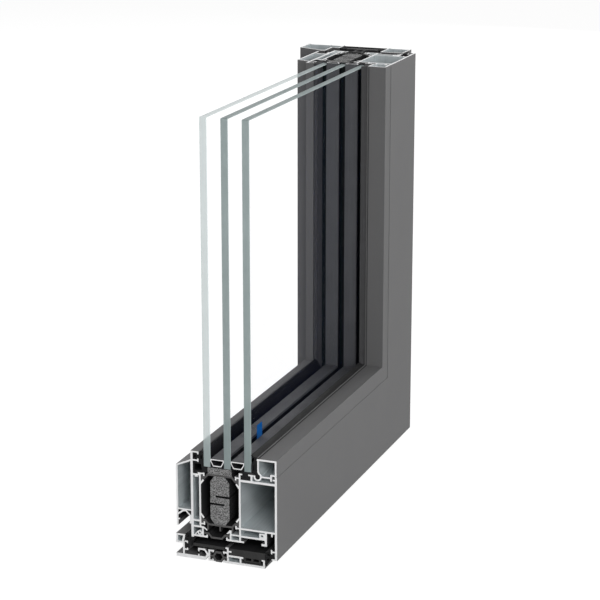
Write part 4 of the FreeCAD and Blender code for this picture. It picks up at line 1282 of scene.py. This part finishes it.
@dataclass
class LeafGaskets:
    """Rubber of the leaf: glazing gaskets, setting strip and stop gasket."""

    maker: Maker
    bead_top: float = 82.5
    wedge: Profile = Profile(
        ((21.25, 70.4), (21.25, 78.1), (19.55, 79.7), (18.85, 81.3), (18.85, 82.8),
         (21.25, 84.2), (21.25, 85.4), (20.7, 85.5), (20.2, 84.9), (19.15, 83.9),
         (16.6, 83.15), (16.25, 82.8), (14.85, 82.8),
         (14.85, 82.5), (16.25, 82.5), (16.75, 82.0), (16.75, 81.0), (17.55, 78.1),
         (17.55, 72.7), (16.25, 71.7), (15.35, 70.0), (14.05, 69.0), (14.05, 67.5),
         (14.31, 66.53), (15.03, 65.81), (16.0, 65.55), (16.98, 65.81), (17.69, 66.53),
         (17.95, 67.5), (17.95, 68.7), (19.3, 70.4)),
        bores=(((19.3, 72.2), (19.9, 72.9), (19.9, 77.0), (19.4, 77.8), (18.8, 77.0),
                (18.8, 72.9)),),
        radius=0.22,
    )
    # Small ridge on the wedge gasket's lip, drawn in the grey of the painted highlight.
    insert: Profile = Profile(
        ((15.65, 82.75), (15.65, 83.35), (15.95, 83.6), (16.35, 83.55), (16.5, 83.05),
         (16.3, 82.75)),
        radius=0.15,
    )
    weather: Profile = Profile(
        ((57.85, 70.2), (57.85, 67.0), (60.7, 65.4), (66.4, 65.4), (66.7, 63.9), (70.5, 63.9),
         (70.5, 74.3), (66.7, 74.3), (66.7, 73.7), (65.5, 73.7), (65.5, 76.5), (66.7, 76.5),
         (66.7, 75.5), (70.5, 75.5), (70.5, 81.1), (66.7, 81.1), (66.7, 79.9), (64.9, 79.9),
         (64.9, 82.3), (63.0, 83.4), (61.9, 82.2), (61.4, 79.9), (61.4, 70.4)),
        bores=(((62.6, 76.2), (64.0, 76.4), (64.0, 79.6), (62.8, 80.0)),
               ((67.8, 77.0), (69.4, 77.0), (69.4, 79.6), (67.8, 79.6)),
               ((62.8, 67.0), (69.0, 67.0), (69.0, 72.2), (63.4, 72.2))),
        radius=0.35,
    )
    setting_strip: Profile = Profile(
        ((21.9, 63.6), (30.3, 63.6), (30.3, 67.5), (28.8, 67.5), (28.8, 69.7), (23.8, 69.7),
         (23.8, 67.5), (21.9, 67.5)),
        radius=0.3,
    )
    stop: Profile = Profile(
        ((1.8, 1.2), (4.6, 1.2), (5.4, -0.4), (7.2, -2.6), (8.6, -5.2), (9.6, -5.6),
         (10.3, -4.9), (10.3, 4.9), (9.6, 6.3), (7.6, 6.8), (5.2, 6.6), (5.2, 5.2), (4.0, 5.2),
         (4.0, 6.4), (1.8, 6.4)),
        bores=(((6.2, 2.6), (9.2, 2.2), (9.4, 4.6), (7.6, 5.4), (6.2, 4.8)),
               ((6.4, 0.6), (8.9, -2.6), (9.3, 0.6), (7.8, 1.2))),
        radius=0.5,
    )

    def build(self) -> None:
        """Build every gasket of the rail and of the stile."""
        grid = self.maker.grid
        for run in LEAF_RUNS:
            low, high = (0.0, None) if run is Run.RAIL else (None, grid.top)
            skin = PALETTE.rubber(run)
            self.draw(run, "outer_gasket", self.weather, PALETTE.lip(run), (low, high))
            self.draw(run, "setting_strip", self.setting_strip, skin, (low, high))
            self.draw(run, "stop_gasket", self.stop, skin, (low, high))
            self.draw(run, "inner_gasket", self.wedge, PALETTE.wedge(run), (low, high),
                      self.bead_top)
            # The ridge in grey, a painted highlight along the lip.
            self.maker.draw_out(run.value + "_painted_highlight", self.insert, run, low, high,
                                (PALETTE.painted_highlight, PALETTE.sawn_rubber), "black_rubber",
                                butt_level=self.bead_top)

    def draw(self, run: Run, name: str, profile: Profile, skin: Finish,
             ends: tuple[float | None, float | None], butt_level: float | None = None) -> None:
        """One gasket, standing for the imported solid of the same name.

        Args:
            run: Its run.
            name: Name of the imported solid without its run.
            profile: Its section.
            skin: Finish of its drawn faces.
            ends: Where it starts and ends; None stands for the corner joint.
            butt_level: Level below which the corner joint is square.
        """
        node = run.value + "_" + name
        self.maker.draw_out(node + "_rubber", profile, run, *ends, (skin, PALETTE.sawn_rubber),
                            "black_rubber", [node], butt_level)


class PaneSide(Enum):
    """Faces of a pane, numbered as the materials of its mesh."""

    CLEAR = 0
    CUT = 1
    TOP = 2
    BURIED = 3


@dataclass
class GlassUnit:
    """Three panes with their spacer bars and sealant, and a small blue sticker."""

    dresser: Dresser
    maker: Maker
    panes: tuple[tuple[str, GroundEdge], ...] = (
        ("glass_inner", PALETTE.edge), ("glass_middle", PALETTE.edge),
        ("glass_outer", PALETTE.pale_edge),
    )
    # Part of a normal from which a face lies in the leaf, or on top.
    buried: float = 0.3
    upward: float = 0.7
    arris: float = 0.35
    sticker_low: tuple[float, float] = (54.8, 85.7)
    sticker_high: tuple[float, float] = (65.8, 97.3)
    sticker_depth: float = 38.4
    sticker_film: float = 0.16
    sticker_corner: float = 0.9
    sticker_steps: int = 4
    gaps: ClassVar[dict[str, Point]] = {"inner": (27.15, 38.35), "outer": (44.25, 55.45)}
    glass_foot: float = 70.4
    seal_brim: float = 75.5
    seal_dip: float = 71.6
    seal_lip: float = 2.2
    seal_corner: float = 0.3
    # Insides of the spacer bars take a dark colour as painted shade.
    hollows: tuple[Area, ...] = (Area.room(28.0, 72.4, 37.6, 76.7),
                                 Area.room(45.1, 72.4, 54.7, 76.7))

    def build(self) -> None:
        """Build panes and sticker, and finish spacers and sealant."""
        for node, edge in self.panes:
            self.build_pane(node, edge)
        self.build_sticker()
        for run in LEAF_RUNS:
            for side in ("inner", "outer"):
                self.dresser.dress(
                    "%s_%s_spacer" % (run.value, side), run,
                    {Skin.OUTSIDE: PALETTE.spacer(run), Skin.SAWN: PALETTE.sawn,
                     Skin.SHADED: PALETTE.shaded(run)}, shaded=self.hollows)
                self.build_seal(run, side)

    def build_seal(self, run: Run, side: str) -> None:
        """Sealant of one gap, filled in under and beside the spacer bar.

        Args:
            run: The run it lies along.
            side: Which of the two gaps it fills.
        """
        front, back = self.gaps[side]
        level, brim, dip, lip = self.glass_foot, self.seal_brim, self.seal_dip, self.seal_lip
        middle = (front + back) / 2
        profile = Profile(
            ((front, level), (back, level), (back, brim), (back - lip, dip),
             (middle, dip), (front + lip, dip), (front, brim)), radius=self.seal_corner)
        low, high = (0.0, None) if run is Run.RAIL else (None, self.maker.grid.top)
        name = "%s_%s_seal" % (run.value, side)
        self.maker.draw_out(name + "ant", profile, run, low, high,
                            (PALETTE.sealant(run), PALETTE.sawn_rubber), "black_rubber", [name])

    def build_pane(self, node: str, edge: GroundEdge) -> None:
        """One pane with ground and lightly arrissed edges.

        Args:
            node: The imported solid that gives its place.
            edge: Finish of its edges.
        """
        low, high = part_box(node)
        work = bmesh.new()
        bmesh.ops.create_cube(work, size=1.0)
        for vert in work.verts:
            vert.co = Vector(
                low[axis] if vert.co[axis] < 0.0 else high[axis] for axis in range(3))
        bmesh.ops.bevel(work, geom=work.edges[:], offset=self.arris * MM, segments=1,
                        affect="EDGES")
        mesh = bpy.data.meshes.new(node + "_pane")
        work.to_mesh(mesh)
        work.free()
        mesh.materials.append(PALETTE.pane.material(self.maker.effects))
        # Top faces take the darker copy and faces turned into the leaf the near-black one, both as
        # painted shade.
        top = PALETTE.shaded_top_edge if edge is PALETTE.edge else edge
        for finish in (edge, top, PALETTE.shaded_buried_edge):
            mesh.materials.append(finish.material(self.maker.effects))
        for face in mesh.polygons:
            face.material_index = self.side_of(face.normal).value
        pane = self.maker.add(node + "_pane", mesh, "float_glass", [node])
        # Light passes through clear glass, and a path through three panes would be cut off.
        pane.visible_shadow = False
        pane.visible_diffuse = False

    def side_of(self, normal: Vector) -> PaneSide:
        """Which side of a pane a face belongs to.

        Args:
            normal: Outward direction of the face.

        Returns:
            The side.
        """
        if abs(normal.y) > FLAT:
            return PaneSide.CLEAR
        # Faces turned into the leaf or down get the near-black painted shade.
        if normal.x > self.buried or normal.z < -self.buried:
            return PaneSide.BURIED
        return PaneSide.TOP if normal.z > self.upward else PaneSide.CUT

    def build_sticker(self) -> None:
        """A thin film with round corners, stuck to the room side of the middle pane."""
        (left, foot), (right, top) = self.sticker_low, self.sticker_high
        outline = Profile(((left, foot), (right, foot), (right, top), (left, top)),
                          radius=self.sticker_corner, steps=self.sticker_steps).loops()[0]
        grid = self.maker.grid
        back = [grid.point(across, self.sticker_depth, height) for across, height in outline]
        front = [grid.point(across, self.sticker_depth - self.sticker_film, height)
                 for across, height in outline]
        count = len(outline)
        numbers = list(range(count))
        faces = [tuple(reversed(numbers)), tuple(number + count for number in numbers)]
        faces += [(here, after, after + count, here + count)
                  for here, after in zip(numbers, numbers[1:] + numbers[:1])]
        mesh = bpy.data.meshes.new("blue_sticker")
        mesh.from_pydata(back + front, [], faces)
        mesh.materials.append(PALETTE.sticker.material(self.maker.effects))
        self.maker.tidy(mesh)
        self.maker.add("blue_sticker", mesh, None, [])


@dataclass
class Sill:
    """Flat threshold: aluminium nose and inner profile, plastic tube, covers and stop seal."""

    dresser: Dresser
    maker: Maker
    metal: tuple[str, ...] = ("sill_nose", "sill_threshold")
    chambers: tuple[Area, ...] = (
        Area(((81.1, 13.3), (84.3, 13.3), (84.3, 18.1), (79.75, 18.1))),
        Area.room(31.6, 2.0, 40.8, 5.7),
    )
    stop_end: float = 325.5
    stop: Profile = Profile(
        ((78.4, 7.6), (78.4, 13.0), (76.8, 13.0), (76.7, 12.3), (75.6, 12.3), (75.6, 14.4),
         (77.2, 15.6), (78.2, 17.8), (77.6, 20.2), (75.9, 21.6), (74.2, 21.0), (73.0, 19.0),
         (72.2, 17.6), (71.0, 16.4), (71.4, 15.4), (72.6, 15.8), (73.8, 17.0), (74.2, 14.2),
         (74.3, 8.2), (75.5, 8.0), (75.6, 8.4), (76.7, 8.4), (76.7, 7.6)),
        bores=(((75.3, 17.0), (76.6, 17.2), (76.8, 18.8), (75.6, 19.8), (74.6, 18.8)),),
        radius=0.5,
    )

    def build(self) -> None:
        """Finish the solids and build the stop seal."""
        finishes = {Skin.OUTSIDE: PALETTE.coat, Skin.SAWN: PALETTE.sawn,
                    Skin.CHAMBER: PALETTE.mill(Run.SILL)}
        for node in self.metal:
            self.dresser.dress(node, Run.SILL, finishes, self.chambers)
        for node in ("sill_cover_plate", "sill_cover_block"):
            self.dresser.dress(node, Run.SILL, {Skin.OUTSIDE: PALETTE.cover(Run.SILL),
                                                Skin.SAWN: PALETTE.sawn_cover})
        self.dresser.dress("sill_insulator", Run.SILL,
                           {Skin.OUTSIDE: PALETTE.isolator(Run.SILL),
                            Skin.SAWN: PALETTE.sawn_isolator})
        self.maker.draw_out("sill_stop_rubber", self.stop, Run.SILL, 0.0, self.stop_end,
                            (PALETTE.rubber(Run.SILL), PALETTE.sawn_rubber), "black_rubber",
                            ["sill_stop_gasket"])


@dataclass
class Jamb:
    """Upright of the frame: two shells, two plastic bars, centre gasket and stop gasket."""

    dresser: Dresser
    maker: Maker
    metal: tuple[str, ...] = ("jamb_inner_shell", "jamb_outer_shell")
    chambers: tuple[Area, ...] = (
        Area.room(336.5, 11.8, 355.5, 30.0),
        Area(((328.5, 81.45), (346.5, 81.45), (346.5, 74.45), (355.5, 74.45), (355.5, 105.75),
              (337.3, 105.75), (328.5, 85.65))),
    )
    # Walls around the insulation take a dark colour as painted shade.
    shaded: tuple[Area, ...] = (Area.room(335.0, 31.0, 357.0, 73.0),)
    centre: Profile = Profile(
        ((328.1, 46.28), (341.4, 46.28), (341.4, 36.33), (345.4, 36.33), (345.4, 65.28),
         (341.4, 65.28), (341.4, 55.33), (328.1, 55.33)),
        bores=(((330.2, 48.3), (339.6, 48.3), (339.6, 53.3), (330.2, 53.3)),),
        radius=0.9,
    )
    stop: Profile = Profile(
        ((320.0, 73.6), (322.4, 72.45), (326.0, 72.5), (329.0, 73.4), (329.0, 79.95),
         (325.6, 79.95), (325.6, 78.4), (324.2, 78.4), (324.2, 77.2), (321.0, 76.2)),
        bores=(((321.6, 74.3), (324.0, 73.6), (324.0, 75.9), (322.0, 75.4)),
               ((325.4, 73.9), (327.6, 74.3), (327.6, 77.0), (325.4, 77.0))),
        radius=0.6,
    )
    stop_foot: float = 23.0

    def build(self) -> None:
        """Finish the solids of the jamb and build its two gaskets."""
        finishes = {Skin.OUTSIDE: PALETTE.coat, Skin.SAWN: PALETTE.sawn,
                    Skin.CHAMBER: PALETTE.mill(Run.JAMB), Skin.SHADED: PALETTE.shaded(Run.JAMB)}
        for node in self.metal:
            self.dresser.dress(node, Run.JAMB, finishes, self.chambers, self.shaded)
        for node in ("jamb_front_isolator", "jamb_back_isolator"):
            self.dresser.dress(node, Run.JAMB, {Skin.OUTSIDE: PALETTE.isolator(Run.JAMB),
                                                Skin.SAWN: PALETTE.sawn_isolator})
        for name, profile, foot in (("jamb_centre", self.centre, 0.0),
                                    ("jamb_stop", self.stop, self.stop_foot)):
            self.maker.draw_out(name + "_rubber", profile, Run.JAMB, foot, self.dresser.grid.top,
                                (PALETTE.rubber(Run.JAMB), PALETTE.sawn_rubber), "black_rubber",
                                [name + "_gasket"])


@dataclass
class Lamp:
    """A soft square lamp: where it stands, how large and how strong it is."""

    name: str
    place: Triple
    size: float
    power: float


@dataclass
class Studio:
    """Pale floor, plain soft light, and the camera at the photograph's angle."""

    grid: Grid
    # Camera: millimetres from the sawn end, radians, and millimetres of lens and sensor.
    eye: Triple = (-1397.17, -545.39, 639.87)
    turn: float = 0.3603
    dip: float = 0.2734
    lens: float = 124.43
    sensor: float = 36.0
    nearest: float = 0.05
    farthest: float = 100.0
    # Floor: its half width, the grey that lights the sample, and how the camera sees it.
    floor_reach: float = 30.0
    floor_paint: Colour = srgb(190, 190, 190)
    floor_shadow: Colour = srgb(120, 120, 120)
    floor_white: float = 0.94
    world_light: float = 0.105
    aim: Triple = (0.0, 0.0, 0.15)
    lamps: tuple[Lamp, ...] = (
        Lamp("room_side_lamp", (0.5, -2.6, 1.0), 1.4, 23.5),
        Lamp("sawn_end_lamp", (-1.05, -0.75, 0.65), 0.75, 10.7),
        Lamp("top_lamp", (0.75, 0.1, 1.35), 0.7, 2.6),
        Lamp("back_lamp", (0.8, 2.5, 0.6), 1.4, 46.0),
        Lamp("jamb_side_lamp", (2.6, -0.1, 0.7), 1.2, 18.0),
    )

    def build(self) -> None:
        """Build floor, world, lamps and camera."""
        self.build_floor()
        self.build_world()
        for lamp in self.lamps:
            self.build_lamp(lamp)
        self.build_camera()

    def build_floor(self) -> None:
        """A large plain floor that the camera sees as white, with the object's shadow."""
        reach = self.floor_reach
        mesh = bpy.data.meshes.new("floor")
        mesh.from_pydata([(-reach, -reach, 0.0), (reach, -reach, 0.0), (reach, reach, 0.0),
                          (-reach, reach, 0.0)], [], [(0, 1, 2, 3)])
        floor = bpy.data.objects.new("floor", mesh)
        bpy.context.scene.collection.objects.link(floor)
        paint = bpy.data.materials.new("pale_floor")
        paint.use_nodes = True
        graph = Graph(paint.node_tree)
        matt = graph.add("BsdfDiffuse", {"Color": self.floor_paint})
        faint = graph.add("BsdfDiffuse", {"Color": self.floor_shadow})
        white = graph.add("Emission", {"Color": WHITE, "Strength": self.floor_white})
        seen = graph.add("AddShader", {0: faint.outputs[0], 1: white.outputs[0]})
        mixed = graph.add("MixShader", {0: self.seen_rays(graph), 1: matt.outputs[0],
                                        2: seen.outputs[0]})
        graph.add("OutputMaterial", {"Surface": mixed.outputs[0]})
        mesh.materials.append(paint)

    @staticmethod
    def seen_rays(graph: Graph) -> bpy.types.NodeSocket:
        """Which rays see the white background.

        Args:
            graph: Graph of a material or of the world.

        Returns:
            1 for rays of the camera and for what glossy and clear pieces show, else 0.
        """
        path = graph.add("LightPath").outputs
        total = graph.math("ADD", path["Is Camera Ray"], path["Is Glossy Ray"])
        return graph.math("ADD", total, path["Is Transmission Ray"], clamp=True)

    def build_world(self) -> None:
        """Even light from all round, white where it is seen."""
        world = bpy.data.worlds.new("studio")
        bpy.context.scene.world = world
        world.use_nodes = True
        graph = Graph(world.node_tree)
        light = graph.add("Background", {"Color": WHITE, "Strength": self.world_light})
        white = graph.add("Background", {"Color": WHITE, "Strength": 1.0})
        mixed = graph.add("MixShader", {0: self.seen_rays(graph), 1: light.outputs[0],
                                        2: white.outputs[0]})
        graph.add("OutputWorld", {"Surface": mixed.outputs[0]})

    def build_lamp(self, lamp: Lamp) -> None:
        """One soft lamp turned towards the sample.

        Args:
            lamp: What the lamp is like.
        """
        data = bpy.data.lights.new(lamp.name, "AREA")
        data.shape = "SQUARE"
        data.size = lamp.size
        data.energy = lamp.power
        piece = bpy.data.objects.new(lamp.name, data)
        bpy.context.scene.collection.objects.link(piece)
        piece.visible_camera = False
        piece.location = Vector(lamp.place)
        towards = Vector(self.aim) - piece.location
        piece.rotation_euler = towards.to_track_quat("-Z", "Y").to_euler()

    def build_camera(self) -> None:
        """Camera where the photograph's perspective puts it."""
        data = bpy.data.cameras.new("camera")
        data.lens = self.lens
        data.sensor_width = self.sensor
        data.clip_start = self.nearest
        data.clip_end = self.farthest
        camera = bpy.data.objects.new("camera", data)
        bpy.context.scene.collection.objects.link(camera)
        camera.location = self.grid.point(*self.eye)
        forward = Vector((math.cos(self.dip) * math.cos(self.turn),
                          math.cos(self.dip) * math.sin(self.turn), -math.sin(self.dip)))
        camera.rotation_euler = forward.to_track_quat("-Z", "Y").to_euler()
        bpy.context.scene.camera = camera
        bpy.context.scene.view_settings.view_transform = "Standard"


def main() -> None:
    """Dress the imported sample, build its fine pieces and set up the studio."""
    logging.basicConfig(level=logging.INFO, format="%(message)s")
    room_low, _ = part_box("rail_inner_shell")
    glass_low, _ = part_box("glass_inner")
    grid = Grid(cut_end=glass_low.x, room_face=room_low.y)
    effects = Effects()
    dresser, maker = Dresser(grid, effects), Maker(grid, effects)
    LeafShells(dresser).dress()
    LeafIsolators(dresser).dress()
    LeafFoam(maker).build()
    LeafGaskets(maker).build()
    GlassUnit(dresser, maker).build()
    Sill(dresser, maker).build()
    Jamb(dresser, maker).build()
    Studio(grid).build()


if __name__ == "__main__":
    main()
